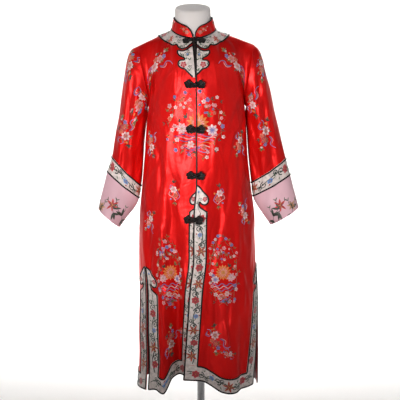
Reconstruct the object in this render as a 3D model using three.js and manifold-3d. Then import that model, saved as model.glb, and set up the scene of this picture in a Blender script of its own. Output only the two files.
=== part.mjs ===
// A long, front-opening satin robe with a stand collar, knotted buttons and ribbon borders,
// worn by a limbless dress form on a pole. Lengths are millimetres, +Z is up and the front faces -Y.
// Left and right are as seen from the front. The origin is on the floor, under the pole's axis.
import * as THREE from 'three';
import { mergeVertices } from 'three/addons/utils/BufferGeometryUtils.js';
import Module from 'manifold-3d';

const wasm = await Module();
wasm.setup();

// Driving dimensions of the cloth
const CLOTH = 2;
const SEAM = 0.3;
const NECK_SEAM = 0.8;
const NECK_CLEARANCE = 7.2;
const FLATNESS = 0.1;
const RIBBON = 1.2;
const RIBBON_GAP = 0.6;
const BINDING = 1.6;
const BINDING_WIDTH = 5;
const BAND_WIDTH = 45;
const HEM_BAND = 52;
const HEM = 300;
const HEM_EASE_TOP = 560;
const SLIT_TOP = 700;
const HEAD_HEIGHT = 88;
const FRONT_HEAD_FOOT = 893;
const UNDERARM = 1227;
const BUST = 1290;
const DROP_START = 900;
const FOLD_FADE = 60;
const RING_POWER = 2.4;
const CHEST_POWER = 1.7;
const OVERLAP_LIFT = 6.2;
const LIFT_WIDTH = 30;
const LIFT_FADE = 70;
const ARMHOLE_SEAM = 1.2;
const UNDERARM_GAP = 2;

// The robe's ring at each height: silhouette at left and right, front and back depth, and the angles of
// the side seams from the middle of the front. Below the slits the back panel has edges of its own.
const BODY = [
  { z: 280, left: -215, right: 190, front: -150, back: 126, seamL: -51, seamR: 63, backL: -53, backR: 87 },
  { z: 400, left: -209, right: 191, front: -148, back: 124, seamL: -51, seamR: 70, backL: -53, backR: 87 },
  { z: 480, left: -210, right: 190, front: -146, back: 122, seamL: -52, seamR: 75, backL: -54, backR: 87 },
  { z: 600, left: -207, right: 189, front: -144, back: 120, seamL: -54, seamR: 81, backL: -56, backR: 86 },
  { z: 700, left: -209, right: 184, front: -142, back: 119, seamL: -57, seamR: 85, backL: -57, backR: 85 },
  { z: 800, left: -207, right: 180, front: -141, back: 117, seamL: -62, seamR: 88, backL: -62, backR: 88 },
  { z: 860, left: -205, right: 179, front: -141, back: 115, seamL: -66, seamR: 89, backL: -66, backR: 89 },
  { z: 960, left: -196, right: 166, front: -140, back: 112, seamL: -75, seamR: 90, backL: -75, backR: 90 },
  { z: 1080, left: -187, right: 155, front: -140, back: 110, seamL: -85, seamR: 90, backL: -85, backR: 90 },
  { z: 1160, left: -183, right: 151, front: -139, back: 111, seamL: -90, seamR: 90, backL: -90, backR: 90 },
  { z: 1227, left: -178, right: 148, front: -137, back: 112, seamL: -90, seamR: 90, backL: -90, backR: 90 },
  { z: 1290, left: -168, right: 142, front: -134, back: 112, seamL: -90, seamR: 90, backL: -90, backR: 90 },
];

// The front opening: X of the upper (right) panel's edge, and how far the left panel runs on under it
const OPENING = [
  { z: 280, x: -60, overlap: 30 },
  { z: 335, x: -56, overlap: 30 },
  { z: 383, x: -53, overlap: 30 },
  { z: 511, x: -46, overlap: 30 },
  { z: 642, x: -37, overlap: 30 },
  { z: 722, x: -27, overlap: 30 },
  { z: 801, x: -26, overlap: 30 },
  { z: 899, x: -24, overlap: 30 },
  { z: 984, x: -17, overlap: 28 },
  { z: 1159, x: -17, overlap: 16 },
  { z: 1290, x: -18, overlap: 4 },
  { z: 1330, x: -20, overlap: -3 },
  { z: 1390, x: -21, overlap: -6 },
  { z: 1446, x: -22.5, overlap: -4 },
];

// Height of the hem line across each panel, as it hangs
const HEM_LINE = {
  left: [
    { x: -175, z: 285 }, { x: -148, z: 292 }, { x: -124, z: 282 }, { x: -112, z: 300 },
    { x: -98, z: 328 }, { x: -60, z: 338 }, { x: 0, z: 340 },
  ],
  right: [
    { x: -60, z: 334 }, { x: -3, z: 329 }, { x: 36, z: 310 }, { x: 69, z: 291 },
    { x: 110, z: 285 }, { x: 135, z: 292 }, { x: 170, z: 297 },
  ],
  back: [
    { x: -215, z: 281 }, { x: -120, z: 294 }, { x: 0, z: 300 }, { x: 120, z: 294 }, { x: 191, z: 283 },
  ],
};

// Large folds of the skirt and body. Each runs from its top down to the hem and grows as it goes down.
// depth is outward at the hem, so a trough is negative; width is half the fold's width.
const FOLDS = [
  { panel: 'front_left', top: 1110, topX: -88, hemX: -80, width: 27, depth: -56 },
  { panel: 'front_left', top: 1150, topX: -124, hemX: -124, width: 18, depth: 13 },
  { panel: 'front_right', top: 830, topX: 14, hemX: 16, width: 24, depth: -12 },
  { panel: 'front_right', top: 960, topX: 80, hemX: 92, width: 30, depth: 15 },
  { panel: 'front_right', top: 760, topX: 132, hemX: 134, width: 12, depth: -8 },
  { panel: 'back', top: 1180, topX: -118, hemX: -148, width: 26, depth: 16 },
  { panel: 'back', top: 1120, topX: -80, hemX: -100, width: 28, depth: -24 },
  { panel: 'back', top: 1160, topX: -44, hemX: -48, width: 28, depth: 16 },
  { panel: 'back', top: 1100, topX: 4, hemX: 8, width: 30, depth: -22 },
  { panel: 'back', top: 1170, topX: 48, hemX: 58, width: 28, depth: 17 },
  { panel: 'back', top: 1100, topX: 88, hemX: 112, width: 28, depth: -20 },
  { panel: 'back', top: 1040, topX: 120, hemX: 152, width: 24, depth: 10 },
];

// Neck and shoulder line. The shoulder runs from the side of the neck to the top of the armhole.
const NECK = {
  midX: -24, halfWidth: 73, front: -73, back: 60,
  frontZ: 1446, sideZ: 1472, backZ: 1482, leftStart: 3, rightStart: 4.5,
};
const SHOULDER = {
  left: { neck: [-97, 3, 1472], tip: [-206, 4, 1420] },
  right: { neck: [49, 3, 1472], tip: [172, 4, 1425] },
};
const NECK_SHARE_FRONT = 0.34;
const NECK_SHARE_BACK = 0.3;

// Sleeve rings from the armhole to the cuff's end: outer and inner point in the front view, middle Y,
// half depth from front to back, and how square the ring is (2 is an ellipse)
const SLEEVES = {
  left: [
    { outerX: -206, outerZ: 1420, innerX: -168, innerZ: 1227, y: 4, depth: 56, power: 2 },
    { outerX: -229, outerZ: 1407, innerX: -174, innerZ: 1221, y: 3, depth: 57, power: 2 },
    { outerX: -242, outerZ: 1377, innerX: -178, innerZ: 1207, y: 3, depth: 56, power: 2 },
    { outerX: -252, outerZ: 1322, innerX: -182, innerZ: 1178, y: 3, depth: 54, power: 2 },
    { outerX: -261, outerZ: 1264, innerX: -187, innerZ: 1142, y: 3, depth: 51, power: 2 },
    { outerX: -270, outerZ: 1195, innerX: -191, innerZ: 1098, y: 3, depth: 47, power: 2 },
    { outerX: -281, outerZ: 1140, innerX: -194, innerZ: 1050, y: 3, depth: 42, power: 2 },
    { outerX: -288, outerZ: 1098, innerX: -197, innerZ: 1006, y: 3, depth: 36, power: 2 },
    { outerX: -295, outerZ: 1058, innerX: -202, innerZ: 961, y: 3, depth: 31, power: 2.1 },
    { outerX: -312, outerZ: 1004, innerX: -210, innerZ: 916, y: 3, depth: 29, power: 2.1 },
    { outerX: -321, outerZ: 968, innerX: -222, innerZ: 888, y: 3, depth: 33, power: 2.1 },
    { outerX: -332, outerZ: 927, innerX: -244, innerZ: 857, y: 3, depth: 38, power: 2 },
    { outerX: -343, outerZ: 882, innerX: -271, innerZ: 819, y: 3, depth: 43, power: 2 },
  ],
  right: [
    { outerX: 172, outerZ: 1425, innerX: 142, innerZ: 1227, y: 4, depth: 56, power: 2 },
    { outerX: 190, outerZ: 1408, innerX: 148, innerZ: 1221, y: 3, depth: 57, power: 2 },
    { outerX: 201, outerZ: 1382, innerX: 151, innerZ: 1207, y: 3, depth: 56, power: 2 },
    { outerX: 213, outerZ: 1332, innerX: 155, innerZ: 1178, y: 3, depth: 54, power: 2 },
    { outerX: 228, outerZ: 1278, innerX: 158, innerZ: 1142, y: 3, depth: 51, power: 2 },
    { outerX: 243, outerZ: 1206, innerX: 161, innerZ: 1098, y: 3, depth: 47, power: 2 },
    { outerX: 257, outerZ: 1150, innerX: 165, innerZ: 1050, y: 3, depth: 42, power: 2 },
    { outerX: 269, outerZ: 1100, innerX: 169, innerZ: 1012, y: 3, depth: 36, power: 2 },
    { outerX: 281, outerZ: 1052, innerX: 174, innerZ: 972, y: 3, depth: 31, power: 2.1 },
    { outerX: 297, outerZ: 994, innerX: 181, innerZ: 922, y: 3, depth: 29, power: 2.1 },
    { outerX: 306, outerZ: 960, innerX: 192, innerZ: 893, y: 3, depth: 33, power: 2.1 },
    { outerX: 316, outerZ: 925, innerX: 209, innerZ: 862, y: 3, depth: 38, power: 2 },
    { outerX: 326, outerZ: 886, innerX: 231, innerZ: 827, y: 3, depth: 43, power: 2 },
  ],
};
const SLEEVE_BAND_RING = 8;
const CUFF_RING = 9;

// Long soft folds of the sleeves, by angle round the ring from its outer edge (front is 0 to 180)
const SLEEVE_FOLDS = [
  { angle: 52, width: 13, depth: 5, from: 1, to: 9 },
  { angle: 76, width: 11, depth: -5, from: 1, to: 9 },
  { angle: 97, width: 13, depth: 5, from: 1, to: 10 },
  { angle: 124, width: 13, depth: -5, from: 1, to: 9 },
  { angle: 238, width: 14, depth: -5, from: 1, to: 9 },
  { angle: 266, width: 14, depth: 5, from: 1, to: 10 },
  { angle: 300, width: 14, depth: -5, from: 1, to: 9 },
];

// Grid sizes. Cuts at band edges are fixed distances; the rest is shared out evenly.
const FRONT_MIDDLE_COLUMNS = 7;
const BACK_MIDDLE_COLUMNS = 13;
const SKIRT_ROWS = 3;
const BODY_ROWS = { belowHead: 2, aboveHead: 4 };
const CHEST_ROWS = 8;
const SLEEVE_SIDES = 2 * CHEST_ROWS;
const RING_SAMPLES = 160;

// Collar and dress form
const COLLAR = {
  height: 39, wall: 2, topHalfWidth: 64, topFront: -69, topBack: 61, corner: 32, cornerLow: 5, columns: 18,
};
const FORM = [
  { z: 838, midX: -4, half: 150, front: -97, back: 102, power: 2.2 },
  { z: 930, midX: -6, half: 155, front: -102, back: 104, power: 2.2 },
  { z: 1010, midX: -9, half: 135, front: -95, back: 90, power: 2.2 },
  { z: 1090, midX: -12, half: 117, front: -90, back: 80, power: 2.1 },
  { z: 1235, midX: -15, half: 134, front: -114, back: 90, power: 2.1 },
  { z: 1290, midX: -16, half: 141, front: -119, back: 93, power: 2.1 },
  { z: 1340, midX: -17, half: 150, front: -106, back: 88, power: 2 },
  { z: 1390, midX: -17, half: 160, front: -90, back: 78, power: 1.8 },
  { z: 1415, midX: -17, half: 162, front: -76, back: 70, power: 1.6 },
  { z: 1433, midX: -18, half: 138, front: -70, back: 64, power: 1.5 },
  { z: 1449, midX: -21, half: 105, front: -65, back: 60, power: 1.6 },
  { z: 1462, midX: -24, half: 76, front: -60, back: 56, power: 1.8 },
  { z: 1474, midX: -26, half: 61, front: -59, back: 54, power: 2 },
  { z: 1500, midX: -27, half: 58, front: -58, back: 53, power: 2 },
  { z: 1538, midX: -27, half: 58, front: -58, back: 53, power: 2 },
  { z: 1545, midX: -27, half: 55, front: -55, back: 50, power: 2 },
  { z: 1547, midX: -27, half: 50, front: -50, back: 45, power: 2 },
];
const FORM_SIDES = 20;
const NECK_CUT = { start: 1500, tilt: 10 };
const POLE = { radius: 12.5, sides: 12, flangeRadius: 30, flangeHeight: 8 };
const BASE = { radius: 170, height: 12, hubRadius: 24, hubHeight: 30, sides: 24 };
const STAND_GAP = 0.3;

// Knotted buttons: height, how far each flower lies from the opening, and the flower's radius
const FROGS = [
  { name: 'neck', z: 1441, left: -25, right: 25, radius: 12 },
  { name: 'chest', z: 1306, left: -21, right: 20, radius: 14 },
  { name: 'waist', z: 1162, left: -18, right: 18, radius: 14 },
  { name: 'hip', z: 1013, left: -18, right: 17, radius: 13.5 },
  { name: 'low', z: 869, left: -18, right: 19, radius: 14 },
];
const FROG = {
  height: 5.5, petals: 5, stemWidth: 6, stemHeight: 2.2, bridgeReach: 6,
  loopRadius: 4.8, loopCord: 1.3, shank: 2.4, ball: 5, rise: 4.9,
};

// Outlines in the front view, for the cloud-shaped pieces at the neck. x is measured outward from the
// opening and z is the real height; the other side is the mirror image.
const YOKE_OUTLINE = [
  [-4, 1436], [8, 1431], [20, 1422], [35, 1417], [48, 1421], [53, 1431], [63, 1428], [76, 1431], [92, 1438],
  [108, 1448], [118, 1460], [118, 1520], [-4, 1520],
];
const TAB_OUTLINE = [
  [-8, 1426], [8, 1424], [20, 1415], [35, 1410], [47, 1413], [49, 1399], [36, 1390], [26, 1383], [43, 1382],
  [49, 1373], [44, 1360], [28, 1353], [20, 1344], [9, 1337], [-8, 1326],
];
const BACK_YOKE_OUTLINE = [
  [0, 1402], [22, 1394], [44, 1402], [56, 1418], [76, 1412], [98, 1422], [112, 1442], [118, 1460],
  [118, 1540], [0, 1540],
];
// Half of the cloud-shaped head at the top of a band: distance from the edge, height above the band
const HEAD_OUTLINE = [
  [-9, -3], [45, -3], [45, 0], [29, 12], [20, 24], [19, 35], [31, 26], [43, 29], [46, 41], [37, 58],
  [20, 76], [4, 89], [-9, 92],
];

// Materials
const material = (hex, roughness, metalness = 0) =>
  new THREE.MeshStandardMaterial({ color: hex, roughness, metalness });
const RED_SATIN = material(0xd01a17, 0.38);
const PALE_RIBBON = material(0xdccbc4, 0.5);
const PINK_SATIN = material(0xe0b2bb, 0.42);
const BLACK_BINDING = material(0x120c0d, 0.5);
const WHITE_FORM = material(0xd9d5d3, 0.55);
const STEEL = material(0x9a9a9c, 0.3, 1);

// Small helpers
const clamp01 = (t) => Math.min(1, Math.max(0, t));
const smooth = (t) => clamp01(t) ** 2 * (3 - 2 * clamp01(t));
const mix = (a, b, t) => a + (b - a) * t;
const radians = THREE.MathUtils.degToRad;
const vector = (p) => new THREE.Vector3(p[0], p[1], p[2]);
const signedPower = (value, power) => Math.sign(value) * Math.abs(value) ** power;
const sideSign = (side) => (side === 'left' ? -1 : 1);
const UP = new THREE.Vector3(0, 0, 1);

// All columns of a table at one value of its key column, along a smooth curve through the rows
function track(table, key, at) {
  const last = table.length - 1;
  let i = 0;
  while (i < last - 1 && at > table[i + 1][key]) i += 1;
  const [p0, p1, p2, p3] = [table[Math.max(0, i - 1)], table[i], table[i + 1], table[Math.min(last, i + 2)]];
  const t = clamp01((at - p1[key]) / (p2[key] - p1[key]));
  const found = {};
  for (const name of Object.keys(p1)) {
    const span = p2[key] - p1[key];
    const step = p2[name] - p1[name];
    const slope1 = p1 === p0 ? step : ((p2[name] - p0[name]) * span) / (p2[key] - p0[key]);
    const slope2 = p3 === p2 ? step : ((p3[name] - p1[name]) * span) / (p3[key] - p1[key]);
    found[name] =
      (2 * t ** 3 - 3 * t ** 2 + 1) * p1[name] +
      (t ** 3 - 2 * t ** 2 + t) * slope1 +
      (3 * t ** 2 - 2 * t ** 3) * p2[name] +
      (t ** 3 - t ** 2) * slope2;
  }
  return found;
}

// A point of the robe's plain ring, and the ring between two angles as an evenly readable polyline
function ringPoint(ring, degrees) {
  const angle = radians(degrees);
  const half = (ring.right - ring.left) / 2;
  const depth = Math.cos(angle) > 0 ? -ring.front : ring.back;
  return new THREE.Vector3(
    (ring.right + ring.left) / 2 + half * signedPower(Math.sin(angle), 2 / RING_POWER),
    -depth * signedPower(Math.cos(angle), 2 / RING_POWER),
    0,
  );
}

function ringPath(ring, fromDegrees, toDegrees) {
  const points = [];
  const lengths = [0];
  for (let i = 0; i <= RING_SAMPLES; i += 1) {
    points.push(ringPoint(ring, mix(fromDegrees, toDegrees, i / RING_SAMPLES)));
    if (i > 0) lengths.push(lengths[i - 1] + points[i].distanceTo(points[i - 1]));
  }
  return { points, lengths, total: lengths[RING_SAMPLES] };
}

// Position and outward normal at a distance along a ring path. out is 1 when the path runs to the right.
function alongPath(path, distance, out) {
  const at = Math.min(path.total, Math.max(0, distance));
  let i = 0;
  while (i < RING_SAMPLES - 1 && path.lengths[i + 1] < at) i += 1;
  const share = (at - path.lengths[i]) / (path.lengths[i + 1] - path.lengths[i]);
  const position = path.points[i].clone().lerp(path.points[i + 1], share);
  const low = path.points[Math.max(0, i - 3)];
  const high = path.points[Math.min(RING_SAMPLES, i + 4)];
  const along = high.clone().sub(low).normalize();
  return { position, normal: new THREE.Vector3(along.y * out, -along.x * out, 0) };
}

// How far the folds push the cloth out at a point of the ring
function foldDepth(panel, x, z) {
  let sum = 0;
  for (const fold of FOLDS) {
    if (fold.panel !== panel || z > fold.top) continue;
    const down = clamp01((fold.top - z) / (fold.top - HEM));
    const centre = mix(fold.topX, fold.hemX, down);
    const width = fold.width * mix(0.7, 1.1, down);
    sum += fold.depth * down ** 1.4 * Math.exp(-(((x - centre) / width) ** 2));
  }
  return sum;
}

// The angle on the front of a ring that lies at a given X
function angleAtX(ring, x) {
  const half = (ring.right - ring.left) / 2;
  const share = (x - (ring.right + ring.left) / 2) / half;
  return THREE.MathUtils.radToDeg(Math.asin(signedPower(share, RING_POWER / 2)));
}

// Rows of a panel: heights from the hem to the bust, with cuts at the hem band, slits and band heads
const HEM_CUTS = [0, BINDING_WIDTH, HEM_BAND - BINDING_WIDTH, HEM_BAND];
const HEAD_ROWS = 2;
const ROWS = (() => {
  const rows = HEM_CUTS.map((cut) => HEM + cut);
  const climb = (to, steps) => {
    const from = rows[rows.length - 1];
    for (let i = 1; i <= steps; i += 1) rows.push(mix(from, to, i / steps));
  };
  climb(SLIT_TOP - HEAD_HEIGHT, SKIRT_ROWS);
  climb(SLIT_TOP, HEAD_ROWS);
  climb(FRONT_HEAD_FOOT, BODY_ROWS.belowHead);
  climb(FRONT_HEAD_FOOT + HEAD_HEIGHT, HEAD_ROWS);
  climb(BUST, BODY_ROWS.aboveHead);
  return rows;
})();
const SLIT_ROW = ROWS.indexOf(SLIT_TOP);
const SLIT_HEAD_ROW = SLIT_ROW - HEAD_ROWS;
const FRONT_HEAD_ROW = ROWS.indexOf(FRONT_HEAD_FOOT);
const HEM_BAND_ROW = HEM_CUTS.length - 1;
const BUST_ROW = ROWS.length - 1;

// Distances along a panel from one edge to the other, with cuts at both edges' bands
const BAND_CUTS = [0, BINDING_WIDTH, BAND_WIDTH - BINDING_WIDTH, BAND_WIDTH];
const OPENING_CUTS = [0, BINDING_WIDTH, BAND_WIDTH / 2, BAND_WIDTH - BINDING_WIDTH, BAND_WIDTH];
function columnCuts(total, firstCuts, middle) {
  const cuts = [...firstCuts];
  for (let i = 1; i < middle; i += 1) cuts.push(mix(BAND_WIDTH, total - BAND_WIDTH, i / middle));
  return [...cuts, ...BAND_CUTS.map((cut) => total - cut).reverse()];
}

// Lifts the right panel over the left one near the opening
function openingLift(side, fromEdge) {
  if (side !== 'right') return 0;
  return OVERLAP_LIFT * (1 - smooth((fromEdge - LIFT_WIDTH) / LIFT_FADE));
}

// Armhole curve from the underarm (0) to the shoulder tip (1), on the front or back half of its ring
function armhole(side, face, t) {
  return sleeveRingPoint(side, 0, face === 'front' ? 180 * (1 - t) : 180 * (1 + t));
}

// A neckline point: angle 0 is the middle of the front, 90 the right side, 180 the back
function necklinePoint(degrees) {
  const c = Math.cos(radians(degrees));
  const depth = c > 0 ? -NECK.front : NECK.back;
  const fall = c > 0 ? NECK.sideZ - NECK.frontZ : NECK.sideZ - NECK.backZ;
  return new THREE.Vector3(
    NECK.midX + NECK.halfWidth * Math.sin(radians(degrees)),
    -depth * c,
    NECK.sideZ - fall * Math.abs(c) ** 1.5,
  );
}

function shoulderPoint(side, t) {
  return vector(SHOULDER[side].neck).lerp(vector(SHOULDER[side].tip), t);
}

// Top edge of a front panel at a share s of its width: neckline up to the corner share, then shoulder
function frontTop(side, s, corner) {
  const start = side === 'left' ? NECK.leftStart : NECK.rightStart;
  if (s >= corner) return shoulderPoint(side, (s - corner) / (1 - corner));
  return necklinePoint(sideSign(side) * mix(start, 90, (s / corner) ** 1.1));
}

// Top edge of the back from its left (0) to its right (1): shoulder, neckline, shoulder
function backTop(s, corner) {
  if (s <= corner) return shoulderPoint('left', 1 - s / corner);
  if (s >= 1 - corner) return shoulderPoint('right', (s - 1 + corner) / corner);
  return necklinePoint(-mix(90, 270, (s - corner) / (1 - 2 * corner)));
}

// The share nearest to a wanted one, so that the corner of the neck falls on a column
const nearestShare = (shares, wanted) =>
  shares.reduce((best, s) => (Math.abs(s - wanted) < Math.abs(best - wanted) ? s : best));

// The chest or shoulder blades: from the bust row up to the top edge along a rounded profile
function chestPoint(base, top, share, armholeShare, side, face) {
  const angle = (share * Math.PI) / 2;
  const rise = Math.sin(angle) ** (2 / CHEST_POWER);
  const lean = 1 - Math.cos(angle) ** (2 / CHEST_POWER);
  const point = new THREE.Vector3(
    mix(base.x, top.x, mix(lean, rise, 0.5)),
    mix(base.y, top.y, lean),
    mix(base.z, top.z, rise),
  );
  const edge = armhole(side, face, share);
  return point.lerp(edge, armholeShare);
}

// A grid of outer points for one panel: rows run up from the hem, columns away from the first edge
function panelGrid(spec) {
  const grid = [];
  let shares = [];
  ROWS.forEach((nominal) => {
    const ring = track(BODY, 'z', nominal);
    const [from, to] = spec.edges(ring, nominal);
    const path = ringPath(ring, from, to);
    const cuts = columnCuts(path.total, spec.firstCuts, spec.middle);
    shares = cuts.map((cut) => cut / path.total);
    grid.push(
      cuts.map((distance) => {
        const { position, normal } = alongPath(path, distance, spec.out);
        const easing = 1 - smooth(1 - Math.abs(position.y) / FOLD_FADE);
        const fold = foldDepth(spec.name, position.x, nominal) * easing;
        const lift = openingLift(spec.side, distance);
        const point = position.addScaledVector(normal, fold + lift);
        const ease = 1 - smooth((nominal - HEM - HEM_BAND) / (HEM_EASE_TOP - HEM - HEM_BAND));
        point.z = nominal + (track(HEM_LINE[spec.hem], 'x', point.x).z - HEM) * ease;
        const drop = spec.drop(distance / path.total) * smooth((nominal - DROP_START) / (BUST - DROP_START));
        point.z += (UNDERARM - BUST) * drop;
        return point;
      }),
    );
  });
  const base = grid[BUST_ROW];
  const corner = nearestShare(shares, spec.cornerShare);
  for (let i = 1; i <= CHEST_ROWS; i += 1) {
    const share = i / CHEST_ROWS;
    grid.push(
      base.map((point, column) => {
        const s = shares[column];
        const { side, armholeShare } = spec.armhole(s);
        return chestPoint(point, spec.top(s, corner), share, armholeShare, side, spec.face);
      }),
    );
  }
  return grid;
}

// Outward normals of a grid
function gridNormals(grid, flip, wrap = false) {
  const rows = grid.length;
  const columns = grid[0].length;
  return grid.map((line, i) =>
    line.map((point, j) => {
      const up = grid[Math.min(rows - 1, i + 1)][j].clone().sub(grid[Math.max(0, i - 1)][j]);
      const before = wrap ? (j + columns - 1) % columns : Math.max(0, j - 1);
      const after = wrap ? (j + 1) % columns : Math.min(columns - 1, j + 1);
      const across = line[after].clone().sub(line[before]);
      return across.cross(up).normalize().multiplyScalar(flip);
    }),
  );
}

// A closed slab between two offsets of a grid, along its normals, over the cells that keep() names
function slab(grid, normals, outer, inner, flip, wrap = false, keep = () => true) {
  const rows = grid.length;
  const columns = grid[0].length;
  const positions = [];
  for (const offset of [outer, inner]) {
    grid.forEach((line, i) =>
      line.forEach((point, j) => {
        const moved = point.clone().addScaledVector(normals[i][j], offset);
        positions.push(moved.x, moved.y, moved.z);
      }),
    );
  }
  const index = [];
  const at = (layer, i, j) => layer * rows * columns + i * columns + (j % columns);
  const quad = (a, b, c, d) => index.push(...(flip > 0 ? [a, b, c, a, c, d] : [a, c, b, a, d, c]));
  const lastCell = wrap ? columns : columns - 1;
  const kept = (i, j) => {
    if (i < 0 || i >= rows - 1) return false;
    if (!wrap && (j < 0 || j >= lastCell)) return false;
    return keep(i, (j + lastCell) % lastCell);
  };
  for (let i = 0; i < rows - 1; i += 1) {
    for (let j = 0; j < lastCell; j += 1) {
      if (!kept(i, j)) continue;
      quad(at(0, i, j), at(0, i, j + 1), at(0, i + 1, j + 1), at(0, i + 1, j));
      quad(at(1, i, j), at(1, i + 1, j), at(1, i + 1, j + 1), at(1, i, j + 1));
      if (!kept(i, j - 1)) quad(at(0, i, j), at(0, i + 1, j), at(1, i + 1, j), at(1, i, j));
      if (!kept(i, j + 1)) quad(at(0, i, j + 1), at(1, i, j + 1), at(1, i + 1, j + 1), at(0, i + 1, j + 1));
      if (!kept(i - 1, j)) quad(at(0, i, j), at(1, i, j), at(1, i, j + 1), at(0, i, j + 1));
      if (!kept(i + 1, j)) quad(at(0, i + 1, j), at(0, i + 1, j + 1), at(1, i + 1, j + 1), at(1, i + 1, j));
    }
  }
  const geometry = new THREE.BufferGeometry();
  geometry.setAttribute('position', new THREE.Float32BufferAttribute(positions, 3));
  geometry.setIndex(index);
  return geometry;
}

// Geometry to manifold-3d solid and back
function toSolid(geometry) {
  const bare = geometry.clone();
  for (const name of ['normal', 'uv', 'uv1', 'uv2']) bare.deleteAttribute(name);
  const merged = mergeVertices(bare, 1e-4);
  return new wasm.Manifold(
    new wasm.Mesh({
      numProp: 3,
      vertProperties: new Float32Array(merged.attributes.position.array),
      triVerts: new Uint32Array(merged.index.array),
    }),
  );
}

function toGeometry(solid) {
  const mesh = solid.getMesh();
  const geometry = new THREE.BufferGeometry();
  geometry.setAttribute('position', new THREE.BufferAttribute(new Float32Array(mesh.vertProperties), 3));
  geometry.setIndex(new THREE.BufferAttribute(new Uint32Array(mesh.triVerts), 1));
  return geometry;
}

// A flat section extruded along the horizontal normal of a frame: x runs along the frame's across
// direction, y upward, and the prism reaches the same distance in front of and behind the origin
function outlinePrism(section, frame, reach) {
  const placed = new THREE.Matrix4().makeBasis(frame.across, UP, frame.across.clone().cross(UP));
  placed.setPosition(frame.origin);
  return section.extrude(2 * reach).translate([0, 0, -reach]).transform(placed.elements);
}

const mirrored = (points) => points.map(([x, y]) => [-x, y]).reverse();

// A point of a sleeve ring. angle 0 is the outer edge, 90 the front, 180 the inner edge.
function sleeveRingPoint(side, index, degrees) {
  const ring = track(
    SLEEVES[side].map((row, i) => ({ ...row, i })),
    'i',
    index,
  );
  const angle = radians(degrees);
  const c = signedPower(Math.cos(angle), 2 / ring.power);
  const s = signedPower(Math.sin(angle), 2 / ring.power);
  let swell = 0;
  for (const fold of SLEEVE_FOLDS) {
    const near = Math.exp(-(((degrees - fold.angle) / fold.width) ** 2));
    const fade = smooth((index - fold.from) / 2) * (1 - smooth((index - fold.to + 2) / 2));
    swell += fold.depth * near * fade;
  }
  const half = Math.hypot(ring.outerX - ring.innerX, ring.outerZ - ring.innerZ) / 2;
  const c2 = c * (1 + (swell * Math.abs(c)) / half);
  return new THREE.Vector3(
    mix(ring.innerX, ring.outerX, (1 + c2) / 2),
    ring.y - (ring.depth + swell * Math.abs(s)) * s,
    mix(ring.innerZ, ring.outerZ, (1 + c2) / 2),
  );
}

function sleeveGrid(side, rings) {
  return rings.map((index) =>
    Array.from({ length: SLEEVE_SIDES }, (_, j) => sleeveRingPoint(side, index, (360 * j) / SLEEVE_SIDES)),
  );
}

// Moves the first or last ring of a tube a little along it, so that two tubes part at their seam
function shiftRing(grid, row, toward, distance) {
  grid[row] = grid[row].map((point, j) => {
    const step = grid[toward][j].clone().sub(point);
    return point.clone().addScaledVector(step.normalize(), distance);
  });
}

// The flat section of a ribbon piece, and of the binding that follows its outline
const sectionOf = (points) => new wasm.CrossSection([points], 'EvenOdd');
const rimOf = (section, width) => section.subtract(section.offset(-width, 'Miter'));

const robe = new THREE.Group();
robe.name = 'robe_on_form';
function add(name, shape, finish) {
  const solid = shape.isBufferGeometry ? toSolid(shape) : shape;
  const geometry = toGeometry(solid.simplify(FLATNESS));
  const mesh = new THREE.Mesh(geometry, finish);
  mesh.name = name;
  robe.add(mesh);
}

// The three body panels: which edges they run between, how far their bust row drops to the underarm,
// and which armhole and top line their columns end on
const DROP_SHARE = 0.72;
const ARM_SHARE = 0.62;
const besideArm = (s, from) => smooth((s - from) / (1 - from));
const fromMiddle = (s) => Math.abs(s - 0.5) * 2;
const PANELS = {
  front_left: {
    name: 'front_left', side: 'left', face: 'front', hem: 'left', out: -1, flip: -1,
    firstCuts: OPENING_CUTS, middle: FRONT_MIDDLE_COLUMNS,
    edges: (ring, z) => {
      const opening = track(OPENING, 'z', z);
      return [angleAtX(ring, opening.x + opening.overlap), ring.seamL];
    },
    drop: (s) => besideArm(s, DROP_SHARE),
    armhole: (s) => ({ side: 'left', armholeShare: besideArm(s, ARM_SHARE) }),
    top: (s, corner) => frontTop('left', s, corner),
    cornerShare: NECK_SHARE_FRONT,
  },
  front_right: {
    name: 'front_right', side: 'right', face: 'front', hem: 'right', out: 1, flip: 1,
    firstCuts: OPENING_CUTS, middle: FRONT_MIDDLE_COLUMNS,
    edges: (ring, z) => [angleAtX(ring, track(OPENING, 'z', z).x), ring.seamR],
    drop: (s) => besideArm(s, DROP_SHARE),
    armhole: (s) => ({ side: 'right', armholeShare: besideArm(s, ARM_SHARE) }),
    top: (s, corner) => frontTop('right', s, corner),
    cornerShare: NECK_SHARE_FRONT,
  },
  back: {
    name: 'back', side: 'back', face: 'back', hem: 'back', out: -1, flip: -1,
    firstCuts: BAND_CUTS, middle: BACK_MIDDLE_COLUMNS,
    edges: (ring, z) => (z < SLIT_TOP ? [ring.backL, ring.backR - 360] : [ring.seamL, ring.seamR - 360]),
    drop: (s) => besideArm(fromMiddle(s), DROP_SHARE),
    armhole: (s) => ({
      side: s < 0.5 ? 'left' : 'right',
      armholeShare: besideArm(fromMiddle(s), ARM_SHARE),
    }),
    top: backTop,
    cornerShare: NECK_SHARE_BACK,
  },
};

// Whether a panel's top point lies on the neckline rather than on the shoulder
const onNeckline = (point) => Math.abs(point.x - NECK.midX) < NECK.halfWidth - 1;

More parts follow.
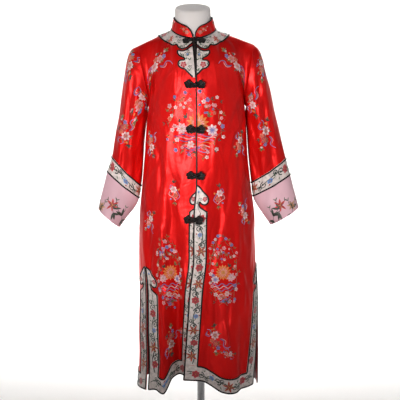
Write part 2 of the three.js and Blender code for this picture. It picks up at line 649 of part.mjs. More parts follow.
// Moves the points on a seam a little into their own panel
function partSeams(name, grid) {
  const columns = grid[0].length;
  const inward = (line, edge, next, gap) => {
    const step = line[next].clone().sub(line[edge]);
    line[edge].addScaledVector(step.normalize(), gap);
  };
  grid.forEach((line, row) => {
    const gap = row > BUST_ROW ? ARMHOLE_SEAM : SEAM;
    inward(line, columns - 1, columns - 2, gap);
    if (name === 'back') inward(line, 0, 1, gap);
  });
  const top = grid.length - 1;
  grid[top].forEach((point, j) => {
    const gap = onNeckline(point) ? NECK_SEAM : SEAM;
    point.addScaledVector(grid[top - 1][j].clone().sub(point).normalize(), gap);
  });
}

// At the shoulder the walls of front and back stand straight up, so that they meet squarely
function straightenShoulder(grid, normals) {
  const top = normals.length - 1;
  normals[top] = normals[top].map((n, j) =>
    onNeckline(grid[top][j]) ? n : new THREE.Vector3(n.x, 0, Math.max(n.z, 0.4)).normalize(),
  );
}

const panels = {};
for (const [name, spec] of Object.entries(PANELS)) {
  const grid = panelGrid(spec);
  partSeams(name, grid);
  const normals = gridNormals(grid, spec.flip);
  straightenShoulder(grid, normals);
  const bands = { first: spec.firstCuts.length - 1, last: BAND_CUTS.length - 1 };
  const columns = grid[0].length - 1;
  panels[name] = { grid, normals, flip: spec.flip, columns, rows: grid.length - 1, bands };
  add(name, slab(grid, normals, 0, -CLOTH, spec.flip), RED_SATIN);
}

// A ribbon or binding that lies on a panel: the cells keep() names, moved out by its layer
const RIBBON_LAYER = [RIBBON_GAP + RIBBON, RIBBON_GAP];
const BINDING_LAYER = [RIBBON_LAYER[0] + SEAM + BINDING, RIBBON_LAYER[0] + SEAM];
function overlay(panel, layer, keep, pulls = []) {
  const grid = panel.grid.map((line) => line.map((point) => point.clone()));
  const pull = (i, j, di, dj, by) => {
    const step = panel.grid[i + di][j + dj].clone().sub(panel.grid[i][j]);
    grid[i][j].addScaledVector(step.normalize(), by);
  };
  for (const { row, column, toward, by } of pulls) {
    if (row !== undefined) grid[row].forEach((_, j) => pull(row, j, toward, 0, by(j)));
    if (column !== undefined) grid.forEach((_, i) => pull(i, column, 0, toward, by(i)));
  }
  return slab(grid, panel.normals, layer[0], layer[1], panel.flip, false, keep);
}

// Keeps the top of an overlay off the collar's base
const NECK_REACH = 84;
const besideNeck = (point) => point.distanceTo(vector([NECK.midX, 0, NECK.sideZ])) < NECK_REACH;
const belowCollar = (panel) => ({
  row: panel.rows,
  toward: -1,
  by: (j) => (besideNeck(panel.grid[panel.rows][j]) ? NECK_CLEARANCE : 0),
});

// The frame of a panel's edge at a row: its point there and the level direction away from the edge
function edgeFrame(panel, row, edge) {
  const line = panel.grid[row];
  const start = edge === 'first' ? line[0] : line[panel.columns];
  const next = edge === 'first' ? line[panel.bands.first] : line[panel.columns - panel.bands.last];
  const across = next.clone().sub(start);
  across.z = 0;
  return { origin: start.clone(), across: across.normalize() };
}

// A band along a panel's edge from the hem band up to its cloud-shaped head
const HEAD_REACH = 60;
function bandWithHead(panel, edge, footRow, headRows, layer) {
  const { first, last } = panel.bands;
  const near = (j) => (edge === 'first' ? j < first : j >= panel.columns - last);
  const wide = (j) => (edge === 'first' ? j < first + 1 : j >= panel.columns - last - 1);
  const aboveHem = [{ row: HEM_BAND_ROW, toward: 1, by: () => SEAM }];
  const strip = overlay(panel, layer, (i, j) => near(j) && i >= HEM_BAND_ROW && i < footRow, aboveHem);
  const sheet = overlay(panel, layer, (i, j) => wide(j) && i >= footRow - 1 && i < footRow + headRows);
  const frame = edgeFrame(panel, footRow, edge);
  const head = toSolid(sheet).intersect(outlinePrism(sectionOf(HEAD_OUTLINE), frame, HEAD_REACH));
  return toSolid(strip).add(head);
}

// The dark rim that follows a head's outline, clear of the binding on the panel's own edge
function headRim(panel, edge, footRow, headRows, from) {
  const first = edge === 'first';
  const last = panel.columns - 1;
  const besideFirst = (j) => j > 0 && j <= panel.bands.first;
  const besideLast = (j) => j < last && j >= last - panel.bands.last;
  const beside = first ? besideFirst : besideLast;
  const keep = (i, j) => beside(j) && i >= footRow - 1 && i < footRow + headRows;
  const clear = [{ column: first ? 1 : last, toward: first ? 1 : -1, by: () => SEAM }];
  const section = sectionOf(HEAD_OUTLINE);
  const window = wasm.CrossSection.square([100, 200]).translate([from, -50]);
  const rim = rimOf(section, BINDING_WIDTH).intersect(window);
  return toSolid(overlay(panel, BINDING_LAYER, keep, clear)).intersect(
    outlinePrism(rim, edgeFrame(panel, footRow, edge), HEAD_REACH),
  );
}

// Sleeves, their ribbon bands and the pink cuffs. Neighbours share the normals of their common ring.
for (const side of ['left', 'right']) {
  const flip = side === 'left' ? 1 : -1;
  const allRings = SLEEVES[side].map((_, i) => i);
  const whole = sleeveGrid(side, allRings);
  const normals = gridNormals(whole, flip, true);
  const pieces = [
    { name: 'sleeve', from: 0, to: SLEEVE_BAND_RING, finish: RED_SATIN },
    { name: 'sleeve_band', from: SLEEVE_BAND_RING, to: CUFF_RING, finish: PALE_RIBBON },
    { name: 'cuff', from: CUFF_RING, to: allRings.length - 1, finish: PINK_SATIN },
  ];
  for (const piece of pieces) {
    const grid = whole.slice(piece.from, piece.to + 1).map((ring) => ring.map((point) => point.clone()));
    shiftRing(grid, 0, 1, piece.from === 0 ? ARMHOLE_SEAM : SEAM);
    if (piece.from === 0) {
      grid[0].forEach((point, j) => {
        point.x += sideSign(side) * UNDERARM_GAP * clamp01(-Math.cos((2 * Math.PI * j) / SLEEVE_SIDES));
      });
    }
    const own = normals.slice(piece.from, piece.to + 1);
    add(`${piece.name}_${side}`, slab(grid, own, 0, -CLOTH, flip, true), piece.finish);
  }
}

// A thin closed ring round a sleeve between two fractional rings, above the cloth
const BINDING_RINGS = [
  { name: 'upper', from: SLEEVE_BAND_RING + 0.02, to: SLEEVE_BAND_RING + 0.12 },
  { name: 'lower', from: CUFF_RING - 0.12, to: CUFF_RING - 0.02 },
];
for (const side of ['left', 'right']) {
  const flip = side === 'left' ? 1 : -1;
  const band = sleeveGrid(side, [SLEEVE_BAND_RING, CUFF_RING]);
  for (const { name, from, to } of BINDING_RINGS) {
    const between = (ring) => band[0].map((p, j) => p.clone().lerp(band[1][j], ring - SLEEVE_BAND_RING));
    const grid = [between(from), between(to)];
    const geometry = slab(grid, gridNormals(grid, flip, true), RIBBON_GAP + BINDING, RIBBON_GAP, flip, true);
    add(`sleeve_binding_${name}_${side}`, geometry, BLACK_BINDING);
  }
}

// Ribbon bands with their heads, hem bands, and the dark bindings
const HEADS = [
  { panel: 'front_left', edge: 'first', foot: FRONT_HEAD_ROW, rimFrom: 33, label: 'front_band_left' },
  { panel: 'front_right', edge: 'first', foot: FRONT_HEAD_ROW, rimFrom: 0, label: 'front_band_right' },
  { panel: 'front_left', edge: 'last', foot: SLIT_HEAD_ROW, rimFrom: 0, label: 'side_band_front_left' },
  { panel: 'front_right', edge: 'last', foot: SLIT_HEAD_ROW, rimFrom: 0, label: 'side_band_front_right' },
  { panel: 'back', edge: 'first', foot: SLIT_HEAD_ROW, rimFrom: 0, label: 'side_band_back_left' },
  { panel: 'back', edge: 'last', foot: SLIT_HEAD_ROW, rimFrom: 0, label: 'side_band_back_right' },
];
for (const { panel, edge, foot, label } of HEADS) {
  add(label, bandWithHead(panels[panel], edge, foot, HEAD_ROWS, RIBBON_LAYER), PALE_RIBBON);
}

for (const [name, panel] of Object.entries(panels)) {
  add(`hem_band_${name}`, overlay(panel, RIBBON_LAYER, (i) => i < HEM_BAND_ROW), PALE_RIBBON);
  const last = panel.columns - 1;
  const outerEdge = (i, j) => {
    if (i === 0) return true;
    if (j === last) return i < SLIT_ROW;
    if (j > 0) return false;
    if (name === 'front_right') return true;
    return name === 'back' && i < SLIT_ROW;
  };
  const edge = overlay(panel, BINDING_LAYER, outerEdge, [belowCollar(panel)]);
  add(`edge_binding_${name}`, edge, BLACK_BINDING);
  const firstFoot = name === 'back' ? SLIT_HEAD_ROW : FRONT_HEAD_ROW;
  const innerFirst = panel.bands.first - 1;
  const innerLast = last + 1 - panel.bands.last;
  const innerEdge = (i, j) => {
    if (i < HEM_BAND_ROW - 1) return false;
    if (i === HEM_BAND_ROW - 1) return j >= innerFirst && j <= innerLast;
    return (j === innerFirst && i < firstFoot) || (j === innerLast && i < SLIT_HEAD_ROW);
  };
  let binding = toSolid(overlay(panel, BINDING_LAYER, innerEdge));
  for (const head of HEADS.filter((entry) => entry.panel === name)) {
    binding = binding.add(headRim(panel, head.edge, head.foot, HEAD_ROWS, head.rimFrom));
  }
  const parts = binding.decompose().sort((a, b) => b.volume() - a.volume());
  const partNames = ['inner_binding', 'head_binding'];
  parts.forEach((part, k) => add(`${partNames[k]}_${name}`, part, BLACK_BINDING));
}

// The left panel's opening edge is bound where it shows, above the place where the fronts cross
const NECK_BINDING_ROW = BUST_ROW + 4;
const leftEdge = (i, j) => j === 0 && i >= NECK_BINDING_ROW;
const leftNeck = overlay(panels.front_left, BINDING_LAYER, leftEdge, [belowCollar(panels.front_left)]);
add('neck_binding_left', leftNeck, BLACK_BINDING);

// Cloud-shaped pieces at the neck: one on each front, one on the back, and a tab down each opening edge
const NECK_PIECE_REACH = 130;
function neckPiece(panel, layer, section, frame, from) {
  const pulls = [belowCollar(panel)];
  if (from > 0) pulls.push({ column: from, toward: 1, by: () => SEAM });
  const sheet = toSolid(overlay(panel, layer, (i, j) => i >= BUST_ROW && j >= from, pulls));
  return sheet.intersect(outlinePrism(section, frame, NECK_PIECE_REACH));
}
for (const side of ['left', 'right']) {
  const panel = panels[`front_${side}`];
  const frame = { origin: vector([NECK.midX, -120, 0]), across: vector([sideSign(side), 0, 0]) };
  for (const [name, outline] of [['yoke', YOKE_OUTLINE], ['tab', TAB_OUTLINE]]) {
    const section = sectionOf(outline);
    const rim = rimOf(section, BINDING_WIDTH);
    add(`${name}_${side}`, neckPiece(panel, RIBBON_LAYER, section, frame, 0), PALE_RIBBON);
    add(`${name}_binding_${side}`, neckPiece(panel, BINDING_LAYER, rim, frame, 1), BLACK_BINDING);
  }
}
const backOutline = [...BACK_YOKE_OUTLINE, ...mirrored(BACK_YOKE_OUTLINE)];
const backFrame = { origin: vector([NECK.midX, 110, 0]), across: vector([-1, 0, 0]) };
add('yoke_back', neckPiece(panels.back, RIBBON_LAYER, sectionOf(backOutline), backFrame, 0), PALE_RIBBON);
const backRim = rimOf(sectionOf(backOutline), BINDING_WIDTH);
add('yoke_binding_back', neckPiece(panels.back, BINDING_LAYER, backRim, backFrame, 0), BLACK_BINDING);

// Stand collar: one strip round the neck with rounded front corners, and the binding round its edge
const COLLAR_ROWS = [0, BINDING_WIDTH, COLLAR.height - BINDING_WIDTH, COLLAR.height];
const COLLAR_LIFT = 1.9;
function collarPoint(degrees, fromEdge, height) {
  const base = necklinePoint(degrees);
  const c = Math.cos(radians(degrees));
  const across = COLLAR.topHalfWidth * Math.sin(radians(degrees));
  const depth = c > 0 ? -COLLAR.topFront : COLLAR.topBack;
  const top = new THREE.Vector3(NECK.midX - 2 + across, -depth * c, 0);
  const round = Math.sqrt(1 - (1 - clamp01(fromEdge / COLLAR.corner)) ** 2);
  const reach = mix(COLLAR.cornerLow / COLLAR.height, 1, round) * (height / COLLAR.height);
  const point = new THREE.Vector3(mix(base.x, top.x, reach), mix(base.y, top.y, reach), 0);
  point.z = base.z + COLLAR_LIFT + COLLAR.height * reach;
  return point;
}
const collarAngles = Array.from({ length: COLLAR.columns + 1 }, (_, k) => {
  const t = Math.abs((2 * k) / COLLAR.columns - 1);
  const start = k * 2 < COLLAR.columns ? NECK.leftStart : NECK.rightStart;
  const turn = mix(180, start, 1 - (1 - t) ** 1.5);
  return k * 2 <= COLLAR.columns ? -turn : turn - 360;
});
const MM_PER_DEGREE = (Math.PI * NECK.halfWidth) / 180;
const collarGrid = COLLAR_ROWS.map((height) =>
  collarAngles.map((angle) => {
    const fromEdge = Math.min(-angle - NECK.leftStart, angle + 360 - NECK.rightStart) * MM_PER_DEGREE;
    return collarPoint(angle, fromEdge, height);
  }),
);
const collarNormals = gridNormals(collarGrid, -1);
add('collar', slab(collarGrid, collarNormals, 0, -COLLAR.wall, -1), RED_SATIN);
const collarRim = (i, j) => i !== 1 || j === 0 || j === COLLAR.columns - 1;
const collarBinding = slab(collarGrid, collarNormals, SEAM + BINDING, SEAM, -1, false, collarRim);
add('collar_binding', collarBinding, BLACK_BINDING);

// Dress form: a smooth limbless body with a neck, closed at both ends
function formRing(row) {
  const ring = [];
  for (let k = 0; k < FORM_SIDES; k += 1) {
    const angle = (2 * Math.PI * k) / FORM_SIDES;
    const c = signedPower(Math.cos(angle), 2 / row.power);
    const y = c > 0 ? row.front * c : -row.back * c;
    const lean = Math.max(0, row.z - NECK_CUT.start) / (FORM[FORM.length - 1].z - NECK_CUT.start);
    const z = row.z + (NECK_CUT.tilt * lean * y) / row.back;
    ring.push(new THREE.Vector3(row.midX + row.half * signedPower(Math.sin(angle), 2 / row.power), y, z));
  }
  return ring;
}

function closedLoft(rings) {
  const sides = rings[0].length;
  const middle = (ring) => ring.reduce((sum, p) => sum.add(p), new THREE.Vector3()).divideScalar(sides);
  const points = [...rings.flat(), middle(rings[0]), middle(rings[rings.length - 1])];
  const bottom = rings.length * sides;
  const index = [];
  for (let k = 0; k < sides; k += 1) {
    const next = (k + 1) % sides;
    for (let i = 0; i < rings.length - 1; i += 1) {
      const low = i * sides;
      index.push(low + k, low + next, low + sides + next, low + k, low + sides + next, low + sides + k);
    }
    const high = (rings.length - 1) * sides;
    index.push(bottom, next, k, bottom + 1, high + k, high + next);
  }
  const geometry = new THREE.BufferGeometry().setFromPoints(points);
  geometry.setIndex(index);
  return geometry;
}
add('form_torso', closedLoft(FORM.map(formRing)), WHITE_FORM);

// Stand: a weighted round base and the pole whose flange carries the form
function turned(profile, sides) {
  const geometry = new THREE.LatheGeometry(profile.map(([r, z]) => new THREE.Vector2(r, z)), sides);
  geometry.deleteAttribute('normal');
  geometry.deleteAttribute('uv');
  geometry.rotateX(Math.PI / 2);
  return mergeVertices(geometry, 1e-3);
}
const hubTop = BASE.height + BASE.hubHeight;
const baseProfile = [
  [0, 0], [BASE.radius, 0], [BASE.radius, BASE.height * 0.6], [BASE.radius - 8, BASE.height],
  [BASE.hubRadius + 6, BASE.height + 2], [BASE.hubRadius, BASE.height + 8],
  [BASE.hubRadius, hubTop], [0, hubTop],
];
add('stand_base', turned(baseProfile, BASE.sides), STEEL);
const flangeTop = FORM[0].z - STAND_GAP;
const flangeFoot = flangeTop - POLE.flangeHeight;
const poleProfile = [
  [0, hubTop + STAND_GAP], [POLE.radius, hubTop + STAND_GAP], [POLE.radius, flangeFoot],
  [POLE.flangeRadius, flangeFoot], [POLE.flangeRadius, flangeTop], [0, flangeTop],
];
add('stand_pole', turned(poleProfile, POLE.sides), STEEL);

// Knotted buttons. The outermost surface of the robe at a place in the front view:
const caster = new THREE.Raycaster();
const rayStart = -400;
function surfaceAt(x, z) {
  robe.updateMatrixWorld(true);
  caster.set(new THREE.Vector3(x, rayStart, z), new THREE.Vector3(0, 1, 0));
  return caster.intersectObjects(robe.children)[0].point;
}

// A level frame on the cloth at the opening: across to the right, up, and outward
function frogFrame(frog) {
  const x = track(OPENING, 'z', frog.z).x;
  const left = surfaceAt(x + frog.left, frog.z);
  const right = surfaceAt(x + frog.right, frog.z);
  const rise = surfaceAt(x + frog.right, frog.z + 12).sub(surfaceAt(x + frog.right, frog.z - 12));
  const across = right.clone().sub(left).normalize();
  const outward = across.clone().cross(rise).normalize();
  const upward = outward.clone().cross(across);
  return { origin: left.add(right).multiplyScalar(0.5).setZ(frog.z), across, upward, outward };
}

const SPREAD = [-1, -0.75, -0.5, -0.25, 0, 0.25, 0.5, 0.75, 1];
// How far the robe stands out of a frame's plane, at its highest within a small box around (u, v)
function heightOver(frame, u, v, halfU, halfV) {
  let highest = -Infinity;
  for (const a of SPREAD) {
    for (const b of SPREAD) {
      const at = frame.origin.clone().addScaledVector(frame.across, u + a * halfU);
      at.addScaledVector(frame.upward, v + b * halfV);
      const hit = surfaceAt(at.x, at.z);
      highest = Math.max(highest, hit.sub(frame.origin).dot(frame.outward));
    }
  }
  return highest;
}

// A five-petalled knot of cord, domed, standing on z = base
function flowerKnot(radius, base) {
  const count = FROG.petals * 3;
  const levels = [
    { height: 0, size: 1 }, { height: FROG.height, size: 0.7 },
  ];
  const rings = levels.map(({ height, size }) =>
    Array.from({ length: count }, (_, k) => {
      const angle = (2 * Math.PI * k) / count;
      const lobe = 0.8 + 0.2 * Math.cos(FROG.petals * angle);
      return new THREE.Vector3(Math.cos(angle), Math.sin(angle), 0)
        .multiplyScalar(radius * lobe * size)
        .setZ(base + height);
    }),
  );
  return toSolid(closedLoft(rings));
}

const block = (x, y, z) => wasm.Manifold.cube([x, y, z], true);
// A flat cord from a flower's middle to the opening, rising from one height to the other
function cordBridge(fromX, fromZ, toX, toZ) {
  const half = FROG.stemHeight / 2;
  const foot = block(FROG.stemWidth, FROG.stemWidth, FROG.stemHeight).translate([fromX, 0, fromZ + half]);
  const head = block(2, FROG.stemWidth, FROG.stemHeight).translate([toX, 0, toZ + half]);
  return wasm.Manifold.hull([foot, head]);
}

for (const frog of FROGS) {
  const frame = frogFrame(frog);
  const half = frog.radius;
  const leftBase = heightOver(frame, frog.left, 0, half, half) + 2 * SEAM;
  const rightBase = heightOver(frame, frog.right, 0, half, half) + 2 * SEAM;
  const middle = heightOver(frame, 0, 0, 9, 8) + 2 * SEAM;
  const placed = new THREE.Matrix4().makeBasis(frame.across, frame.upward, frame.outward);
  placed.setPosition(frame.origin);
  const loopBase = middle + FROG.stemHeight + SEAM;
  const ball = loopBase + 2 * FROG.loopCord + FROG.rise;
  const shank = wasm.Manifold.cylinder(ball - middle, FROG.shank, FROG.shank, 6).translate([0, 0, middle]);
  const knob = wasm.Manifold.sphere(FROG.ball, 8).translate([0, 0, ball]);
  const ballSide = flowerKnot(frog.radius, leftBase)
    .translate([frog.left, 0, 0])
    .add(cordBridge(frog.left, leftBase + 1, -FROG.bridgeReach, middle))
    .add(cordBridge(-FROG.bridgeReach, middle, 0, middle))
    .add(shank)
    .add(knob);
  const ring = wasm.CrossSection.circle(FROG.loopCord, 6).translate([FROG.loopRadius, 0]).revolve(8);
  const loopSide = flowerKnot(frog.radius, rightBase)
    .translate([frog.right, 0, 0])
    .add(ring.translate([0, 0, loopBase + FROG.loopCord]))
    .add(cordBridge(frog.right, rightBase + 1, FROG.loopRadius + 1, loopBase));
  add(`frog_${frog.name}_ball`, ballSide.transform(placed.elements), BLACK_BINDING);
  add(`frog_${frog.name}_loop`, loopSide.transform(placed.elements), BLACK_BINDING);
}

export default robe;
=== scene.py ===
"""A long red satin robe with ribbon borders, knotted buttons and silk embroidery, on a limbless dress form.

Lengths in the tables are millimetres, +Z is up and the front faces -Y. Left and right are as seen from the
front. Meshes are made in millimetres and turned to metres when they become objects.
"""

import math
import random

import bpy
import numpy as np
from bpy.props import FloatProperty, FloatVectorProperty, IntProperty, PointerProperty
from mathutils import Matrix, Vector
from mathutils.geometry import delaunay_2d_cdt


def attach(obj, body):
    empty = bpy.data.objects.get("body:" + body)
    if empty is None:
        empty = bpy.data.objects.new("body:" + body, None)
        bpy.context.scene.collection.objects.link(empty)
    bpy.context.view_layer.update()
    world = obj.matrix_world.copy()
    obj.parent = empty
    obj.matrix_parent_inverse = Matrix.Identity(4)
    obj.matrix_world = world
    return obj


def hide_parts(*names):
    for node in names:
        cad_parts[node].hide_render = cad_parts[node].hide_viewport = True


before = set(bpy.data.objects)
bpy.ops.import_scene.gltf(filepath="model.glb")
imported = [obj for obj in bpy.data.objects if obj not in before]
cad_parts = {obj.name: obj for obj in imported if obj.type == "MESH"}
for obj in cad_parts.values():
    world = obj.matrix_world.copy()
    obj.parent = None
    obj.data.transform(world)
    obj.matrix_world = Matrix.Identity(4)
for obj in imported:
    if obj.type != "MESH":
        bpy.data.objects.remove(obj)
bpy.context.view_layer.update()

bl_info = {
    "name": "Embroidered robe on a dress form",
    "version": (1, 0, 0),
    "blender": (4, 5, 0),
    "location": "View3D > Sidebar > Robe",
    "description": "Builds a red satin robe with ribbon borders and silk embroidery on a dress form",
    "category": "Add Mesh",
}

METRES = 0.001


def table(columns, *rows):
    """A table with named columns, a row for each section or fold."""
    return dict(zip(columns.split(), np.array(rows, float).T))


# The robe's ring at each height: silhouette, front and back depth, and the angles of its side seams
BODY = table(
    "z left right front back seam_left seam_right back_left back_right",
    (280, -215, 190, -150, 126, -51, 63, -53, 87),
    (400, -209, 191, -148, 124, -51, 70, -53, 87),
    (480, -210, 190, -146, 122, -52, 75, -54, 87),
    (600, -207, 189, -144, 120, -54, 81, -56, 86),
    (700, -209, 184, -142, 119, -57, 85, -57, 85),
    (800, -207, 180, -141, 117, -62, 88, -62, 88),
    (860, -205, 179, -141, 115, -66, 89, -66, 89),
    (960, -196, 166, -140, 112, -75, 90, -75, 90),
    (1080, -187, 155, -140, 110, -85, 90, -85, 90),
    (1160, -183, 151, -139, 111, -90, 90, -90, 90),
    (1227, -178, 148, -137, 112, -90, 90, -90, 90),
    (1290, -168, 142, -134, 112, -90, 90, -90, 90),
)
# X of the upper panel's edge down the front, and how far the left panel runs on under it
OPENING = table(
    "z x overlap",
    (280, -60, 30), (335, -56, 30), (383, -53, 30), (511, -46, 30), (642, -37, 30), (722, -27, 30),
    (801, -26, 30), (899, -24, 30), (984, -17, 28), (1159, -17, 16), (1290, -18, 4), (1330, -20, -3),
    (1390, -21, -6), (1446, -22.5, -4),
)
# Height of the hem line across each panel, as it hangs
HEM_LINE = {
    "front_left": table(
        "x z", (-175, 285), (-148, 292), (-124, 282), (-112, 300), (-98, 328), (-60, 338), (0, 340)
    ),
    "front_right": table(
        "x z", (-60, 334), (-3, 329), (36, 310), (69, 291), (110, 285), (135, 292), (170, 297)
    ),
    "back": table("x z", (-215, 281), (-120, 294), (0, 300), (120, 294), (191, 283)),
}
# Large folds, each running down to the hem. depth is outward at the hem, so a trough is negative.
FOLDS = {
    "front_left": table(
        "top top_x hem_x width depth", (1110, -88, -80, 27, -56), (1150, -124, -124, 18, 13)
    ),
    "front_right": table(
        "top top_x hem_x width depth",
        (830, 14, 16, 24, -12), (960, 80, 92, 30, 15), (760, 132, 134, 12, -8),
    ),
    "back": table(
        "top top_x hem_x width depth",
        (1180, -118, -148, 26, 16), (1120, -80, -100, 28, -24), (1160, -44, -48, 28, 16),
        (1100, 4, 8, 30, -22), (1170, 48, 58, 28, 17), (1100, 88, 112, 28, -20), (1040, 120, 152, 24, 10),
    ),
}
# Creases, each a soft trough or ridge between two places in the front view, fading out at both ends
CREASES = {
    "front_left": table(
        "x1 z1 x2 z2 width depth",
        (-62, 1400, -128, 1300, 12, 2.6), (-84, 1372, -150, 1262, 9, -2.8), (-120, 1376, -160, 1268, 8, 2.2),
        (-168, 1244, -118, 1170, 9, -3.0), (-172, 1216, -104, 1120, 8, 2.4),
        (-166, 1190, -128, 1060, 7, -2.4),
        (-70, 1236, -54, 1060, 11, -2.2), (-98, 1190, -84, 980, 10, 2.4), (-140, 1100, -146, 900, 9, -3.2),
        (-160, 1060, -170, 860, 8, 3.0), (-112, 1010, -118, 760, 9, -2.6), (-60, 1010, -64, 820, 8, 2.0),
        (-134, 860, -138, 610, 7, 3.2), (-152, 800, -158, 560, 6, -3.0), (-70, 760, -62, 520, 8, 2.8),
        (-98, 700, -104, 400, 8, 3.4), (-136, 560, -140, 380, 6, -3.2), (-120, 520, -118, 360, 6, 2.8),
        (-58, 640, -54, 420, 7, -2.4), (-150, 480, -146, 340, 6, 2.6), (-176, 900, -184, 700, 7, -2.6),
    ),
    "front_right": table(
        "x1 z1 x2 z2 width depth",
        (26, 1392, 96, 1296, 12, 2.4), (56, 1370, 118, 1256, 9, -2.6), (92, 1374, 134, 1262, 8, 2.2),
        (140, 1240, 92, 1160, 9, -3.0), (144, 1212, 78, 1110, 8, 2.4), (140, 1180, 100, 1050, 7, -2.6),
        (24, 1240, 14, 1080, 10, -2.0), (60, 1170, 44, 1000, 10, 2.2), (118, 1100, 122, 930, 9, -3.0),
        (138, 1050, 146, 850, 7, 2.8), (84, 1060, 78, 880, 8, -2.4), (20, 1020, 22, 860, 8, 2.2),
        (50, 960, 46, 760, 9, -2.6), (150, 930, 158, 760, 7, -2.8), (112, 880, 108, 690, 8, 2.8),
        (64, 800, 62, 600, 7, 2.6), (128, 720, 134, 540, 6, 2.6), (-2, 780, -8, 560, 7, 2.2),
        (38, 650, 36, 450, 7, -2.8), (102, 640, 104, 420, 7, -3.4), (70, 560, 74, 360, 6, 3.0),
        (16, 520, 10, 370, 6, 2.2), (140, 520, 142, 360, 6, -2.4), (120, 460, 124, 330, 6, 2.6),
    ),
    "back": table(
        "x1 z1 x2 z2 width depth",
        (-60, 1400, -140, 1300, 13, 2.4), (-90, 1370, -150, 1250, 10, -2.4), (40, 1398, 110, 1290, 12, 2.4),
        (66, 1362, 128, 1244, 9, -2.6), (-20, 1380, -22, 1240, 13, -1.8), (-150, 1220, -98, 1130, 9, 2.6),
        (128, 1216, 80, 1130, 9, -2.6), (-122, 1100, -128, 900, 9, -2.8), (-70, 1060, -64, 880, 9, 2.4),
        (-20, 1100, -24, 930, 9, -2.2), (30, 1040, 26, 860, 9, 2.4), (100, 1080, 106, 900, 8, -2.6),
        (-160, 960, -168, 760, 8, 2.8), (-96, 860, -102, 660, 7, -2.6), (-34, 820, -30, 600, 8, 2.6),
        (52, 850, 56, 650, 8, -2.8), (126, 900, 132, 700, 7, 2.6), (-132, 700, -138, 470, 7, -3.0),
        (-66, 640, -70, 430, 7, 2.8), (14, 620, 10, 420, 7, -2.6), (80, 640, 84, 410, 7, 3.0),
        (146, 640, 150, 430, 6, -2.6), (-110, 480, -112, 340, 6, 2.6), (40, 470, 42, 330, 6, 2.4),
    ),
}

# Neck, shoulders and chest
NECK = {
    "mid_x": -24, "half_width": 73, "front": 73, "back": 60,
    "front_z": 1446, "side_z": 1472, "back_z": 1482, "left_start": 3, "right_start": 4.5,
}
SHOULDER = {
    "left": np.array([[-97, 3, 1472], [-206, 4, 1420]], float),
    "right": np.array([[49, 3, 1472], [172, 4, 1425]], float),
}
# The neck's corner on a panel's top edge: its share of the width, and the plain solid's middle columns
NECK_CORNERS = {"front": (0.34, 7), "back": (0.3, 13)}
NECKLINE_FALL = 1.5
NECKLINE_START = 1.1
UNDERARM = 1227
BUST = 1290
CHEST_RUN = 220
DROP_START = 900
DROP_SHARE = 0.72
ARM_SHARE = 0.62
RING_POWER = 2.4
CHEST_POWER = 1.7
FOLD_FADE = 60
OVERLAP_LIFT = 6.2
LIFT_WIDTH = 30
LIFT_FADE = 70
HEM = 300
HEM_BAND = 52
HEM_EASE_TOP = 560
SLIT_TOP = 700
FRONT_HEAD_FOOT = 893
HEAD_HEIGHT = 88
BAND_WIDTH = 45

# Sleeve rings from armhole to cuff: outer and inner point in the front view, middle Y, half depth, squareness
SLEEVES = {
    "left": table(
        "outer_x outer_z inner_x inner_z y depth power",
        (-206, 1420, -168, 1227, 4, 56, 2), (-229, 1407, -174, 1221, 3, 57, 2),
        (-242, 1377, -178, 1207, 3, 56, 2), (-252, 1322, -182, 1178, 3, 54, 2),
        (-261, 1264, -187, 1142, 3, 51, 2), (-270, 1195, -191, 1098, 3, 47, 2),
        (-281, 1140, -194, 1050, 3, 42, 2), (-288, 1098, -197, 1006, 3, 36, 2),
        (-295, 1058, -202, 961, 3, 31, 2.1), (-312, 1004, -210, 916, 3, 29, 2.1),
        (-321, 968, -222, 888, 3, 33, 2.1), (-332, 927, -244, 857, 3, 38, 2),
        (-343, 882, -271, 819, 3, 43, 2),
    ),
    "right": table(
        "outer_x outer_z inner_x inner_z y depth power",
        (172, 1425, 142, 1227, 4, 56, 2), (190, 1408, 148, 1221, 3, 57, 2),
        (201, 1382, 151, 1207, 3, 56, 2), (213, 1332, 155, 1178, 3, 54, 2),
        (228, 1278, 158, 1142, 3, 51, 2), (243, 1206, 161, 1098, 3, 47, 2),
        (257, 1150, 165, 1050, 3, 42, 2), (269, 1100, 169, 1012, 3, 36, 2),
        (281, 1052, 174, 972, 3, 31, 2.1), (297, 994, 181, 922, 3, 29, 2.1),
        (306, 960, 192, 893, 3, 33, 2.1), (316, 925, 209, 862, 3, 38, 2),
        (326, 886, 231, 827, 3, 43, 2),
    ),
}
SLEEVE_BAND_RING = 8
CUFF_RING = 9
LAST_RING = 12
UNDERARM_GAP = 2
# How far the inner side of each sleeve leans to the body, which the solids leave free, and its rings
SLEEVE_LEAN = {"left": 3.4, "right": 7.2}
LEAN_START, LEAN_FULL, LEAN_END = 1.0, 1.5, 9.0
# Folds along the sleeves, by angle round the ring from its outer edge; the front is 0 to 180
SLEEVE_FOLDS = table(
    "angle width depth start end",
    (52, 13, 5, 1, 9), (76, 11, -5, 1, 9), (97, 13, 5, 1, 10), (124, 13, -5, 1, 9),
    (238, 14, -5, 1, 9), (266, 14, 5, 1, 10), (300, 14, -5, 1, 9),
)
# Creases of the sleeves between two places, each a ring and an angle
SLEEVE_CREASES = table(
    "ring1 angle1 ring2 angle2 width depth",
    (1.2, 150, 3.6, 108, 9, 2.4), (1.8, 166, 4.6, 126, 8, -2.6), (2.6, 60, 5.4, 92, 8, 2.0),
    (3.4, 150, 6.4, 116, 8, 2.4), (4.4, 40, 7.4, 70, 8, -2.2), (5.2, 160, 7.8, 132, 7, -2.2),
    (5.6, 98, 8.6, 110, 7, 2.0), (1.4, 210, 4.2, 250, 9, 2.4), (3.2, 196, 6.2, 232, 8, -2.4),
    (5.0, 280, 8.2, 262, 8, 2.2), (6.0, 214, 8.6, 226, 7, 2.0), (2.2, 320, 5.2, 292, 8, -2.2),
)

